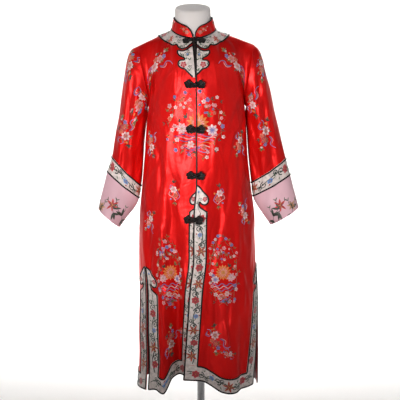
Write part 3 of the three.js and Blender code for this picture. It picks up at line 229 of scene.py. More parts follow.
# Collar, dress form and stand
COLLAR = {
    "height": 39, "wall": 2, "top_half": 64, "top_front": 69, "top_back": 61,
    "corner": 32, "corner_low": 5, "lift": 1.9,
}
FORM = table(
    "z mid_x half front back power",
    (838, -4, 150, -97, 102, 2.2), (930, -6, 155, -102, 104, 2.2), (1010, -9, 135, -95, 90, 2.2),
    (1090, -12, 117, -90, 80, 2.1), (1235, -15, 134, -114, 90, 2.1), (1290, -16, 141, -119, 93, 2.1),
    (1340, -17, 150, -106, 88, 2), (1390, -17, 160, -90, 78, 1.8), (1415, -17, 162, -76, 70, 1.6),
    (1433, -18, 138, -70, 64, 1.5), (1449, -21, 105, -65, 60, 1.6), (1462, -24, 76, -60, 56, 1.8),
    (1474, -26, 61, -59, 54, 2), (1500, -27, 58, -58, 53, 2), (1538, -27, 58, -58, 53, 2),
    (1545, -27, 55, -55, 50, 2), (1547, -27, 50, -50, 45, 2),
)
NECK_CUT_START = 1500
NECK_CUT_TILT = 10
BASE_RADIUS = 170
BASE_HEIGHT = 12
HUB_RADIUS = 24
HUB_TOP = 42
FLANGE_RADIUS = 30
FLANGE_HEIGHT = 8
POLE_RADIUS = 12.5
STAND_GAP = 0.3

# Outline of the cloud-shaped head of a band: distance from the panel's edge, height above the band
HEAD_OUTLINE = [
    (44.5, -4), (45, 0), (38, 6), (28, 12), (21, 18), (18.5, 26), (19.5, 34), (24, 30), (31, 25.5), (39, 25),
    (45, 31), (46.5, 41), (43, 50), (37, 58), (30, 65), (22, 74), (14, 83), (5, 89),
]
# Outlines at the neck: x outward from the opening, z the real height in the front view
YOKE_OUTLINE = [
    (2, 1436), (8, 1430), (14, 1426), (22, 1419), (32, 1416), (42, 1416), (49, 1420), (53, 1431),
    (57, 1427), (66, 1426), (76, 1430), (86, 1434), (97, 1440), (108, 1448), (116, 1457), (119, 1468),
]
TAB_OUTLINE = [
    (3, 1425), (10, 1422), (20, 1414), (31, 1409), (42, 1409), (49, 1413), (52, 1405), (48, 1397), (40, 1391),
    (31, 1389), (25, 1384), (31, 1380), (42, 1381), (49, 1374), (49, 1364), (42, 1357), (32, 1354),
    (24, 1351),
    (20, 1344), (14, 1339), (8, 1334), (3, 1327),
]
BACK_YOKE_OUTLINE = [
    (0, 1402), (12, 1397), (22, 1394), (34, 1395), (44, 1402), (51, 1411), (56, 1419), (62, 1414), (76, 1411),
    (90, 1415), (100, 1424), (108, 1436), (114, 1448), (119, 1462),
]
FROGS = table(
    "z left right radius",
    (1441, -25, 25, 12), (1306, -21, 20, 14), (1162, -18, 18, 14), (1013, -18, 17, 13.5), (869, -18, 19, 14),
)
FROG_NAMES = ("neck", "chest", "waist", "hip", "low")


def smooth(t):
    t = np.clip(t, 0, 1)
    return t * t * (3 - 2 * t)


def mix(a, b, t):
    return a + (b - a) * t


def signed_power(value, power):
    return np.sign(value) * np.abs(value) ** power


def unit(vectors):
    return vectors / np.maximum(np.linalg.norm(vectors, axis=-1, keepdims=True), 1e-9)


def track(rows, key, at):
    """Every column of a table at the values `at` of its key column, on a smooth curve through the rows."""
    keys = rows[key]
    at = np.asarray(at, float)
    last = len(keys) - 1
    i = np.clip(np.searchsorted(keys, at) - 1, 0, last - 1)
    before, after = np.maximum(i - 1, 0), np.minimum(i + 2, last)
    span = keys[i + 1] - keys[i]
    t = np.clip((at - keys[i]) / span, 0, 1)
    found = {}
    for name, v in rows.items():
        step = v[i + 1] - v[i]
        start = np.where(i == 0, step, (v[i + 1] - v[before]) * span / (keys[i + 1] - keys[before]))
        end = np.where(i + 1 == last, step, (v[after] - v[i]) * span / (keys[after] - keys[i]))
        found[name] = (
            (2 * t**3 - 3 * t**2 + 1) * v[i] + (t**3 - 2 * t**2 + t) * start
            + (3 * t**2 - 2 * t**3) * v[i + 1] + (t**3 - t**2) * end
        )
    return found


def rounded(points, steps=6):
    """A smooth line through given points, with `steps` stretches between neighbours."""
    points = np.array(points, float)
    padded = np.vstack([2 * points[0] - points[1], points, 2 * points[-1] - points[-2]])
    line = []
    for k in range(len(points) - 1):
        a, b, c, d = padded[k : k + 4]
        for t in np.arange(steps) / steps:
            line.append(
                0.5 * (2 * b + (c - a) * t + (2 * a - 5 * b + 4 * c - d) * t**2
                       + (3 * b - a - 3 * c + d) * t**3)
            )
    return np.array([*line, points[-1]])


class Cloth:
    """A curved piece of cloth: a fine grid of points and outward normals, read at row and column values."""

    def __init__(self, points, rows, column_of, flip, wrap=False):
        self.points, self.rows, self.column_of = points, np.asarray(rows, float), column_of
        self.flip, self.wrap = flip, wrap
        up = np.gradient(points, axis=0)
        if wrap:
            across = np.roll(points, -1, axis=1) - np.roll(points, 1, axis=1)
        else:
            across = np.gradient(points, axis=1)
        self.normals = unit(np.cross(across, up)) * flip

    def at(self, row, column):
        """Points and normals at arrays of row and column values."""
        row, column = np.broadcast_arrays(np.asarray(row, float), np.asarray(column, float))
        count, width = self.points.shape[:2]
        i = np.clip(np.interp(row, self.rows, np.arange(count)), 0, count - 1.0001)
        c = self.column_of(row, column)
        c = np.mod(c, width) if self.wrap else np.clip(c, 0, width - 1.0001)
        i0, c0 = i.astype(int), c.astype(int)
        c1 = (c0 + 1) % width
        s, t = (i - i0)[..., None], (c - c0)[..., None]

        def read(grid):
            low = mix(grid[i0, c0], grid[i0, c1], t)
            return mix(low, mix(grid[i0 + 1, c0], grid[i0 + 1, c1], t), s)

        return read(self.points), unit(read(self.normals))

    def patch(self, row, column, row_step=1.0, column_step=1.0):
        """How far row and column values move for 1 mm to the right and 1 mm up, seen from outside."""
        _, normal = self.at(row, column)
        along_row = (self.at(row + row_step, column)[0] - self.at(row - row_step, column)[0]) / 2 / row_step
        along_column = self.at(row, column + column_step)[0] - self.at(row, column - column_step)[0]
        along_column = along_column / 2 / column_step
        up = np.array([0, 0, 1.0])
        up = unit(up - normal * (up @ normal))
        right = np.cross(up, normal)
        table_of = [[along_row @ right, along_column @ right], [along_row @ up, along_column @ up]]
        return np.linalg.inv(np.array(table_of))


def ring_xy(ring, angles):
    half = (ring["right"] - ring["left"]) / 2
    depth = np.where(np.cos(angles) > 0, -ring["front"], ring["back"])
    x = (ring["right"] + ring["left"]) / 2 + half * signed_power(np.sin(angles), 2 / RING_POWER)
    return x, -depth * signed_power(np.cos(angles), 2 / RING_POWER)


def angle_at_x(ring, x):
    half = (ring["right"] - ring["left"]) / 2
    share = (x - (ring["right"] + ring["left"]) / 2) / half
    return math.degrees(math.asin(signed_power(share, RING_POWER / 2)))


def fold_depth(name, x, z):
    """How far the large folds push the cloth out at points of a row."""
    total = np.zeros_like(x)
    folds = FOLDS[name]
    for top, top_x, hem_x, width, depth in zip(*folds.values()):
        if z > top:
            continue
        down = min(1.0, (top - z) / (top - HEM))
        centre, wide = mix(top_x, hem_x, down), width * mix(0.7, 1.1, down)
        total += depth * down**1.4 * np.exp(-(((x - centre) / wide) ** 2))
    return total


def crease_depth(rows, a1, b1, a2, b2, a, b):
    """The sum of the creases of a table at places (a, b); each runs from (a1, b1) to (a2, b2)."""
    total = np.zeros(np.broadcast(a, b).shape)
    for k in range(len(rows["depth"])):
        start = np.array([rows[a1][k], rows[b1][k]])
        run = np.array([rows[a2][k], rows[b2][k]]) - start
        length = np.hypot(*run)
        along = ((a - start[0]) * run[0] + (b - start[1]) * run[1]) / length**2
        aside = ((b - start[1]) * run[0] - (a - start[0]) * run[1]) / length
        bow = 0.06 * length * np.sin(math.pi * along) * (1 if k % 2 else -1)
        fade = np.sin(math.pi * np.clip(along, 0, 1)) ** 0.7
        total += rows["depth"][k] * fade * np.exp(-(((aside + bow) / rows["width"][k]) ** 2))
    return total


def sleeve_point(side, ring, degrees):
    """Points of a sleeve at ring numbers and angles: 0 is the outer edge, 90 the front, 180 the inner."""
    numbered = {**SLEEVES[side], "ring": np.arange(LAST_RING + 1.0)}
    row = track(numbered, "ring", ring)
    degrees = np.asarray(degrees, float)
    c = signed_power(np.cos(np.radians(degrees)), 2 / row["power"])
    s = signed_power(np.sin(np.radians(degrees)), 2 / row["power"])
    swell = np.zeros(np.broadcast(ring, degrees).shape)
    for angle, width, depth, start, end in zip(*SLEEVE_FOLDS.values()):
        fade = smooth((ring - start) / 2) * (1 - smooth((ring - end + 2) / 2))
        swell += depth * np.exp(-(((degrees - angle) / width) ** 2)) * fade
    half = np.hypot(row["outer_x"] - row["inner_x"], row["outer_z"] - row["inner_z"]) / 2
    share = (1 + c * (1 + swell * np.abs(c) / half)) / 2
    x = mix(row["inner_x"], row["outer_x"], share)
    z = mix(row["inner_z"], row["outer_z"], share)
    return np.stack(np.broadcast_arrays(x, row["y"] - (row["depth"] + swell * np.abs(s)) * s, z), -1)


def armhole(side, face, t):
    return sleeve_point(side, 0.0, 180 * (1 - t) if face == "front" else 180 * (1 + t))


def neckline_point(degrees):
    """A neckline point: 0 is the middle of the front, 90 the right side, 180 the back."""
    s, c = np.sin(np.radians(degrees)), np.cos(np.radians(degrees))
    depth = np.where(c > 0, NECK["front"], NECK["back"])
    fall = NECK["side_z"] - np.where(c > 0, NECK["front_z"], NECK["back_z"])
    z = NECK["side_z"] - fall * np.abs(c) ** NECKLINE_FALL
    return np.stack(np.broadcast_arrays(NECK["mid_x"] + NECK["half_width"] * s, -depth * c, z), -1)


def shoulder_point(side, t):
    return mix(SHOULDER[side][0], SHOULDER[side][1], t)


def front_top(side, s, corner):
    if s >= corner:
        return shoulder_point(side, (s - corner) / (1 - corner))
    sign, start = (-1, NECK["left_start"]) if side == "left" else (1, NECK["right_start"])
    return neckline_point(sign * mix(start, 90, (s / corner) ** NECKLINE_START))


def back_top(s, corner):
    if s <= corner:
        return shoulder_point("left", 1 - s / corner)
    if s >= 1 - corner:
        return shoulder_point("right", (s - 1 + corner) / corner)
    return neckline_point(-mix(90, 270, (s - corner) / (1 - 2 * corner)))


def beside_arm(s, start):
    return float(smooth((s - start) / (1 - start)))


def panel_edges(name, ring, z):
    """The angles of a panel's first and last edge on its ring."""
    if name == "back":
        if z < SLIT_TOP:
            return ring["back_left"], ring["back_right"] - 360
        return ring["seam_left"], ring["seam_right"] - 360
    opening = track(OPENING, "z", z)
    if name == "front_left":
        return angle_at_x(ring, opening["x"] + opening["overlap"]), ring["seam_left"]
    return angle_at_x(ring, opening["x"]), ring["seam_right"]


# How finely the panels are made: step between rows, columns across a band and across the middle
ROW_STEP = 7.5
CHEST_STEPS = 34
BAND_COLUMNS = 9
MIDDLE_COLUMNS = {"front_left": 40, "front_right": 40, "back": 92}
RING_SAMPLES = 240
# Creases are deeper by this share below the waist, where the cloth hangs free of the form
SKIRT_CREASE = 0.8
SKIRT_TOP = 1060
SKIRT_FADE = 140
NORMAL_REACH = 2.2
# The right front's edge keeps this width free of creases, and at the sides creases keep this share
FLAT_EDGE = 8
CREASE_FLOOR = 0.35
# Creases of the chest fade in above the bust, out below the top edge, and over these columns at the sides
CHEST_CREASE_RISE = 40
CHEST_CREASE_FALL = 60
CHEST_CREASE_EDGE = 6


def panel_row(name, nominal, columns):
    """Outer points of one row of a panel at a nominal height, and the row's length."""
    ring = track(BODY, "z", nominal)
    start, end = panel_edges(name, ring, nominal)
    x, y = ring_xy(ring, np.radians(np.linspace(start, end, RING_SAMPLES + 1)))
    lengths = np.concatenate([[0], np.cumsum(np.hypot(np.diff(x), np.diff(y)))])
    total = lengths[-1]
    distance = columns(total)
    reach = NORMAL_REACH * total / RING_SAMPLES

    def on_ring(d):
        return np.stack([np.interp(d, lengths, x), np.interp(d, lengths, y)], -1)

    point = on_ring(distance)
    along = unit(on_ring(np.minimum(distance + reach, total)) - on_ring(np.maximum(distance - reach, 0)))
    out = 1 if name == "front_right" else -1
    normal = np.stack([along[:, 1] * out, -along[:, 0] * out], -1)
    easing = 1 - smooth(1 - np.abs(point[:, 1]) / FOLD_FADE)
    push = fold_depth(name, point[:, 0], nominal) * easing
    if name == "front_right":
        push = push + OVERLAP_LIFT * (1 - smooth((distance - LIFT_WIDTH) / LIFT_FADE))
    creases = crease_depth(CREASES[name], "x1", "z1", "x2", "z2", point[:, 0], np.full(len(point), nominal))
    flat_edge = 0 if name == "front_left" else FLAT_EDGE
    held = 1 if name == "back" else smooth((distance - flat_edge) / BAND_WIDTH)
    loose = 1 + SKIRT_CREASE * (1 - float(smooth((nominal - SKIRT_TOP) / SKIRT_FADE)))
    push = push + creases * held * loose * mix(CREASE_FLOOR, 1, easing)
    point = point + normal * push[:, None]
    ease = 1 - smooth((nominal - HEM - HEM_BAND) / (HEM_EASE_TOP - HEM - HEM_BAND))
    z = nominal + (track(HEM_LINE[name], "x", point[:, 0])["z"] - HEM) * ease
    share = distance / total
    side_share = np.abs(share - 0.5) * 2 if name == "back" else share
    drop = smooth((side_share - DROP_SHARE) / (1 - DROP_SHARE))
    drop = drop * smooth((nominal - DROP_START) / (BUST - DROP_START))
    return np.column_stack([point, z + (UNDERARM - BUST) * drop]), total


def chest_point(name, base, s, corner, share):
    """The chest or shoulder blades: from the bust row up to the top edge along a rounded profile."""
    if name == "back":
        side, face, beside = "left" if s < 0.5 else "right", "back", abs(s - 0.5) * 2
        top = back_top(s, corner)
    else:
        side, face, beside = name.split("_")[1], "front", s
        top = front_top(side, s, corner)
    angle = share * math.pi / 2
    rise, lean = np.sin(angle) ** (2 / CHEST_POWER), 1 - np.cos(angle) ** (2 / CHEST_POWER)
    shares = np.stack([mix(lean, rise, 0.5), lean, rise], -1)
    point = mix(base, top, shares)
    return mix(point, armhole(side, face, share), beside_arm(beside, ARM_SHARE))


def corner_share(name, total):
    """Where the corner of the neck falls: on the column of the plain solids nearest to the wanted share."""
    wanted, middle = NECK_CORNERS["back" if name == "back" else "front"]
    inner = mix(BAND_WIDTH, total - BAND_WIDTH, np.arange(1, middle) / middle)
    shares = np.array([BAND_WIDTH, *inner, total - BAND_WIDTH]) / total
    return shares[np.argmin(np.abs(shares - wanted))]


def make_panel(name):
    """The fine grid of a body panel. Its rows are heights, then BUST plus a run up to the top edge."""
    middle = MIDDLE_COLUMNS[name]
    band = np.linspace(0, BAND_WIDTH, BAND_COLUMNS + 1)

    def columns(total):
        inner = np.linspace(BAND_WIDTH, total - BAND_WIDTH, middle + 1)[1:-1]
        return np.concatenate([band, inner, total - band[::-1]])

    heights = np.arange(HEM, BUST + 0.1, ROW_STEP)
    lower = [panel_row(name, z, columns) for z in heights]
    base, total = lower[-1]
    shares = columns(total) / total
    corner = corner_share(name, total)
    chest_shares = np.arange(1, CHEST_STEPS + 1) / CHEST_STEPS
    chest = np.stack(
        [chest_point(name, base[j], s, corner, chest_shares) for j, s in enumerate(shares)], axis=1
    )
    points = np.concatenate([np.stack([row for row, _ in lower]), chest])
    rows = np.concatenate([heights, BUST + CHEST_RUN * chest_shares])
    totals = np.array([length for _, length in lower] + [total] * CHEST_STEPS)

    def column_of(row, distance):
        whole = np.interp(row, rows, totals)
        step = BAND_WIDTH / BAND_COLUMNS
        inner = BAND_COLUMNS + (distance - BAND_WIDTH) / (whole - 2 * BAND_WIDTH) * middle
        last = 2 * BAND_COLUMNS + middle - (whole - distance) / step
        return np.where(distance < BAND_WIDTH, distance / step,
                        np.where(distance > whole - BAND_WIDTH, last, inner))

    flip = 1 if name == "front_right" else -1
    cloth = Cloth(crease_chest(name, Cloth(points, rows, column_of, flip)), rows, column_of, flip)
    cloth.total_at = lambda row: np.interp(row, rows, totals)
    return cloth


def crease_chest(name, cloth):
    """The points of a panel with the creases of its chest, which lie above the bust row."""
    above = cloth.rows > BUST
    points = cloth.points[above]
    push = crease_depth(CREASES[name], "x1", "z1", "x2", "z2", points[..., 0], points[..., 2])
    rise = smooth((cloth.rows[above] - BUST) / CHEST_CREASE_RISE)[:, None]
    fall = smooth((BUST + CHEST_RUN - cloth.rows[above]) / CHEST_CREASE_FALL)[:, None]
    column = np.arange(points.shape[1])
    edge = smooth(np.minimum(column, column[::-1]) / CHEST_CREASE_EDGE)
    creased = cloth.points.copy()
    creased[above] = points + cloth.normals[above] * (push * rise * fall * edge)[..., None]
    return creased


SLEEVE_RING_STEP = 0.1
SLEEVE_COLUMNS = 108
RING_DEGREES = 24
LEAN_POWER = 0.7


def make_sleeve(side):
    """The fine grid of a sleeve and its cuff. Its rows are ring numbers and its columns degrees."""
    rings = np.arange(0, LAST_RING + SLEEVE_RING_STEP / 2, SLEEVE_RING_STEP)
    degrees = np.arange(SLEEVE_COLUMNS) * 360 / SLEEVE_COLUMNS
    points = sleeve_point(side, rings[:, None], degrees[None, :])
    sign = -1 if side == "left" else 1
    near = (1 - smooth(rings))[:, None]
    inner = np.clip(-np.cos(np.radians(degrees)), 0, 1)[None, :]
    points[..., 0] += sign * UNDERARM_GAP * inner * near
    lean = smooth((rings - LEAN_START) / LEAN_FULL)
    lean = lean * (1 - smooth((rings - LEAN_END) / (LAST_RING - LEAN_END)))
    points[..., 0] -= sign * SLEEVE_LEAN[side] * inner**LEAN_POWER * lean[:, None]
    cloth = Cloth(points, rings, lambda row, d: d * SLEEVE_COLUMNS / 360, -1 if side == "left" else 1, True)
    push = sleeve_creases(rings[:, None], degrees[None, :])
    points = cloth.points + cloth.normals * push[..., None]
    return Cloth(points, rings, cloth.column_of, cloth.flip, True)


def sleeve_creases(ring, degrees):
    """Creases of a sleeve; a ring counts as so many degrees, so that they keep their width when slanted."""
    scaled = {key: v * (RING_DEGREES if key.startswith("ring") else 1) for key, v in SLEEVE_CREASES.items()}
    return crease_depth(scaled, "ring1", "angle1", "ring2", "angle2", ring * RING_DEGREES, degrees)


PANELS = {name: make_panel(name) for name in ("front_left", "front_right", "back")}
SLEEVE_CLOTHS = {side: make_sleeve(side) for side in ("left", "right")}
HEADS = {
    "front_left": (("first", FRONT_HEAD_FOOT), ("last", SLIT_TOP - HEAD_HEIGHT)),
    "front_right": (("first", FRONT_HEAD_FOOT), ("last", SLIT_TOP - HEAD_HEIGHT)),
    "back": (("first", SLIT_TOP - HEAD_HEIGHT), ("last", SLIT_TOP - HEAD_HEIGHT)),
}
TOP_ROW = BUST + CHEST_RUN


def from_edge(cloth, edge, row, distance):
    """Column value of a place at a distance from a panel's first or last edge."""
    return distance if edge == "first" else cloth.total_at(row) - distance


def head_path(cloth, edge, foot, inset=0.0):
    """The outline of a band's head in row and column values, from its foot up to the tip at the edge."""
    line = rounded(HEAD_OUTLINE, 4)
    rows = foot + line[:, 1]
    return np.column_stack([rows, [from_edge(cloth, edge, r, x - inset) for r, x in zip(rows, line[:, 0])]])


SEARCH_ROWS = 420
SEARCH_COLUMNS = 150


def find_places(cloth, x, z, row_low, row_high, column_range):
    """Row and column values of the cloth's places nearest to points of the front view."""
    rows = np.linspace(row_low, row_high, SEARCH_ROWS)
    shares = np.linspace(0, 1, SEARCH_COLUMNS)
    row_grid, share_grid = np.meshgrid(rows, shares, indexing="ij")
    low, high = column_range(row_grid)
    column_grid = mix(low, high, share_grid)
    points = cloth.at(row_grid, column_grid)[0].reshape(-1, 3)
    found = [np.argmin((points[:, 0] - a) ** 2 + (points[:, 2] - b) ** 2) for a, b in zip(x, z)]
    return np.column_stack([row_grid.ravel()[found], column_grid.ravel()[found]])


def find_on_panel(name, x, z, row_low=HEM, row_high=TOP_ROW):
    cloth = PANELS[name]
    return find_places(
        cloth, x, z, row_low, row_high, lambda row: (np.zeros_like(row), cloth.total_at(row))
    )


def shell(points, normals, outer, inner, flip, wrap=False):
    """A closed thin shell between two offsets of a grid: points, faces, and a side (0 out, 1 in) for each."""
    rows, columns = points.shape[:2]
    vertices = np.concatenate([(points + normals * h).reshape(-1, 3) for h in (outer, inner)])
    index = np.arange(rows * columns).reshape(rows, columns)
    if wrap:
        index = np.concatenate([index, index[:, :1]], axis=1)
    under = rows * columns

    def quads(a, b, c, d):
        return np.stack([a, b, c, d], -1).reshape(-1, 4)

    out = quads(index[:-1, :-1], index[:-1, 1:], index[1:, 1:], index[1:, :-1])
    rims = [
        quads(index[0, :-1], index[0, :-1] + under, index[0, 1:] + under, index[0, 1:]),
        quads(index[-1, :-1], index[-1, 1:], index[-1, 1:] + under, index[-1, :-1] + under),
    ]
    if not wrap:
        rims += [
            quads(index[:-1, 0], index[1:, 0], index[1:, 0] + under, index[:-1, 0] + under),
            quads(index[:-1, -1], index[:-1, -1] + under, index[1:, -1] + under, index[1:, -1]),
        ]
    faces = np.concatenate([out, out[:, ::-1] + under, *rims])
    side = np.concatenate([np.zeros(len(out)), np.ones(len(out)), np.zeros(len(faces) - 2 * len(out))])
    return vertices, faces if flip > 0 else faces[:, ::-1], side.astype(int)


def inside_outline(outline, points):
    """Whether points lie inside a closed outline."""
    x, y = points[:, 0], points[:, 1]
    inside = np.zeros(len(points), bool)
    for (x1, y1), (x2, y2) in zip(outline, np.roll(outline, -1, axis=0)):
        crosses = (y1 > y) != (y2 > y)
        at = x1 + (y - y1) * (x2 - x1) / (y2 - y1 if y2 != y1 else 1)
        inside ^= crosses & (x < at)
    return inside


# Filling points keep this share of the spacing from the outline, of which at most about so many count
RIM_GAP = 0.45
RIM_SAMPLES = 400


def cut_piece(outline, spacing):
    """Fills a closed outline of row and column values with evenly spaced points and triangles."""
    low, high = outline.min(0), outline.max(0)
    grid = np.stack(
        np.meshgrid(*[np.arange(a + spacing / 2, b, spacing) for a, b in zip(low, high)], indexing="ij"), -1
    ).reshape(-1, 2)
    grid = grid[inside_outline(outline, grid)]
    ring = outline[:: max(1, len(outline) // RIM_SAMPLES)]
    gap = np.min(np.linalg.norm(grid[:, None] - ring[None], axis=2), axis=1)
    inner = grid[gap > spacing * RIM_GAP]
    points = [Vector(p) for p in np.concatenate([outline, inner])]
    made = delaunay_2d_cdt(points, [], [list(range(len(outline)))], 1, 1e-5)
    return np.array([tuple(p) for p in made[0]]), np.array(made[2])


def lay_piece(cloth, outline, low, high, spacing=5.0):
    """A closed thin piece of ribbon, cut to an outline and laid on the cloth between two heights."""
    flat, triangles = cut_piece(outline, spacing)
    top, normals = cloth.at(flat[:, 0], flat[:, 1])
    a, b, c = (top[triangles[:, k]] for k in range(3))
    if (np.cross(b - a, c - a) * normals[triangles[:, 0]]).sum() < 0:
        triangles = triangles[:, ::-1]
    count = len(flat)
    edges = np.concatenate([triangles[:, [0, 1]], triangles[:, [1, 2]], triangles[:, [2, 0]]])
    known = {(int(a), int(b)) for a, b in edges}
    rim = [[a, a + count, b + count, b] for a, b in known if (b, a) not in known]
    vertices = np.concatenate([top + normals * high, top + normals * low])
    return vertices, triangles.tolist() + (triangles[:, ::-1] + count).tolist() + rim


def tube(path, radius, sides=10, closed=False, flatten=None, normals=None):
    """A round or flattened cord along a path: points and faces. Its frame follows `normals` if given."""
    path = np.asarray(path, float)
    if closed:
        tangent = unit(np.roll(path, -1, axis=0) - np.roll(path, 1, axis=0))
    else:
        tangent = unit(np.gradient(path, axis=0))
    if normals is None:
        normals = np.zeros_like(path)
        normal = np.cross(tangent[0], [0.3, 0.9, 0.2])
        for k, along in enumerate(tangent):
            normal = normal - along * (normal @ along)
            normal = normal / np.linalg.norm(normal)
            normals[k] = normal
    normals = unit(normals - tangent * (normals * tangent).sum(-1, keepdims=True))
    across = np.cross(normals, tangent)
    angles = np.arange(sides) * 2 * math.pi / sides
    wide, high = np.broadcast_to(radius, len(path)), np.broadcast_to(
        radius if flatten is None else flatten, len(path)
    )
    ring = (
        path[:, None] + across[:, None] * (wide[:, None] * np.cos(angles))[..., None]
        + normals[:, None] * (high[:, None] * np.sin(angles))[..., None]
    )
    index = np.arange(len(path) * sides).reshape(len(path), sides)
    following = np.roll(index, -1, axis=0) if closed else index[1:]
    start = index if closed else index[:-1]
    faces = np.stack([start, following, np.roll(following, -1, 1), np.roll(start, -1, 1)], -1).reshape(-1, 4)
    faces = faces.tolist()
    if not closed:
        faces += [index[0].tolist(), index[-1][::-1].tolist()]
    return ring.reshape(-1, 3), faces


def evenly(points, step, closed=False):
    """A line of points resampled at an even distance."""
    points = np.asarray(points, float)
    if closed:
        points = np.vstack([points, points[:1]])
    length = np.concatenate([[0], np.cumsum(np.linalg.norm(np.diff(points, axis=0), axis=1))])
    count = max(3, int(round(length[-1] / step)))
    at = np.linspace(0, length[-1], count + 1)
    if closed:
        at = at[:-1]
    return np.stack([np.interp(at, length, points[:, k]) for k in range(points.shape[1])], -1)


def bind(cloth, path, width, height, base, step=3.0):
    """A round-backed binding that follows a path of row and column values, on top of `base`."""
    points, normals = cloth.at(path[:, 0], path[:, 1])
    line = evenly(np.hstack([points + normals * (base + height / 2), normals]), step)
    return tube(line[:, :3], width / 2, 10, flatten=height / 2, normals=line[:, 3:])


def joined(pieces):
    """Several (points, faces) meshes as one."""
    vertices, faces, base = [], [], 0
    for points, polygons in pieces:
        vertices.append(points)
        faces += [[int(i) + base for i in polygon] for polygon in polygons]
        base += len(points)
    return np.concatenate(vertices), faces


def make_object(name, vertices, faces, materials, sides=None, slot=None, nodes=()):
    """Makes one object in metres, fixed to the garment, standing for its plain solids."""
    mesh = bpy.data.meshes.new(name)
    mesh.from_pydata((np.asarray(vertices) * METRES).tolist(), [], [list(map(int, f)) for f in faces])
    for material in materials:
        mesh.materials.append(material)
    if sides is not None:
        mesh.polygons.foreach_set("material_index", np.asarray(sides, np.int32))
    mesh.polygons.foreach_set("use_smooth", np.ones(len(mesh.polygons), bool))
    mesh.set_sharp_from_angle(angle=math.radians(50))
    mesh.update()
    piece = bpy.data.objects.new(name, mesh)
    bpy.context.scene.collection.objects.link(piece)
    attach(piece, "root")
    if nodes:
        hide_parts(*nodes)
    return piece


def make_ribbon(node, mesh):
    """A piece of ribbon, standing for the plain solid whose name it takes."""
    return make_object(f"{node}_ribbon", *mesh, [MATERIALS["ribbon"]], None, "pale_ribbon", [node])


def make_bias(node, mesh, *more_nodes):
    """A black binding, standing for the plain solid whose name it takes and for any others given."""
    make_object(f"{node}_bias", *mesh, [MATERIALS["binding"]], None, "black_binding", [node, *more_nodes])


def declare_sheet(piece, width, length):
    """Works out a piece's cut, which is not kept or used. The area is half of the built mesh's closed surface
    and at most the rectangle's.
    It isn't worked out from a flat pattern, so it can't show that the cloth has stretched."""
    area = sum(polygon.area for polygon in piece.data.polygons) / 2
    width, length = width * METRES, length * METRES
    area = min(area, width * length)


def srgb(code):
    """Linear colour of an sRGB hex value such as 'D01A17'."""
    channels = [int(code[k : k + 2], 16) / 255 for k in (0, 2, 4)]
    return tuple(c / 12.92 if c <= 0.04045 else ((c + 0.055) / 1.055) ** 2.4 for c in channels)


def length_property(name, about, default):
    return FloatProperty(name=name, description=about, default=default, unit="LENGTH")


def colour_property(name, about, code):
    return FloatVectorProperty(name=name, description=about, subtype="COLOR", default=srgb(code))


class RobeSizes(bpy.types.PropertyGroup):
    """Thicknesses and widths of the robe's cloth, ribbons and trimmings"""

    cloth: length_property("Cloth", "Satin and its lining", 0.0014)
    ribbon: length_property("Ribbon", "Thickness of the ribbon", 0.001)
    ribbon_gap: length_property("Under the ribbon", "Air between satin and ribbon", 0.0005)
    binding: length_property("Binding", "Width of a binding", 0.005)
    binding_height: length_property("Binding height", "How far a binding stands up", 0.0024)
    cord: length_property("Cord", "Diameter of the button cord", 0.0054)
    floss: length_property("Floss", "Height of the satin stitch", 0.0011)


class RobeColours(bpy.types.PropertyGroup):
    """Colours of the robe's cloths"""

    satin: colour_property("Satin", "Outer satin", "CE0F0D")
    # Painted shade: the darker red that the satin is blended to in slow streaks, standing in for shade along
    # the folds; those stretches are also a little rougher.
    satin_painted_shade: colour_property("Satin shade", "Painted shade in rougher stretches of the satin", "BA0B0B")
    lining: colour_property("Lining", "Inside of the robe", "6E0610")
    ribbon: colour_property("Ribbon", "Ground of the ribbons", "CCBFBB")
    cuff: colour_property("Cuff", "Cuff satin", "CEA5B0")
    binding: colour_property("Binding", "Bindings and cords", "0B0606")
    form: colour_property("Form", "Form cover", "D9D4D5")


class StandSizes(bpy.types.PropertyGroup):
    """Sizes of the dress form's stand"""

    base_radius: length_property("Base radius", "Radius of the foot", BASE_RADIUS * METRES)
    sides: IntProperty(name="Sides", description="Sides of the turned parts", default=96, min=24)


def add_node(tree, kind, settings=None, inputs=None):
    """Adds one node with its settings; an input is a value, or another node's output that gets linked."""
    node = tree.nodes.new("ShaderNode" + kind)
    for key, value in (settings or {}).items():
        setattr(node, key, value)
    for key, value in (inputs or {}).items():
        if isinstance(value, bpy.types.NodeSocket):
            tree.links.new(value, node.inputs[key])
        else:
            node.inputs[key].default_value = value
    return node


def start_material(name, **numbers):
    """A new material with its shader; numbers are the shader's own uniform values."""
    material = bpy.data.materials.new(name)
    material.use_nodes = True
    tree = material.node_tree
    tree.nodes.clear()
    shader = add_node(tree, "BsdfPrincipled", inputs={k.replace("_", " "): v for k, v in numbers.items()})
    output = add_node(tree, "OutputMaterial")
    tree.links.new(shader.outputs[0], output.inputs[0])
    return material, tree, shader


def noise_scale(millimetres):
    return 1 / (millimetres * METRES)


def wave_scale(millimetres):
    """Scale of a wave texture whose bands are this far apart: it draws 20/(2 pi) bands for each unit."""
    return 2 * math.pi / 20 / (millimetres * METRES)


def blend_colours(tree, factor, first, second):
    node = add_node(tree, "Mix", {"data_type": "RGBA"}, {0: factor, 6: (*first, 1), 7: (*second, 1)})
    return node.outputs[2]


def place_of(tree):
    return add_node(tree, "TexCoord").outputs["Object"]


def noise_at(tree, place, millimetres, detail):
    return add_node(tree, "TexNoise", inputs={
        "Vector": place, "Scale": noise_scale(millimetres), "Detail": detail,
    })


def lines_at(tree, place, direction, millimetres):
    """Lines this far apart, side by side in one direction."""
    return add_node(tree, "TexWave", {"bands_direction": direction}, {
        "Vector": place, "Scale": wave_scale(millimetres),
    })


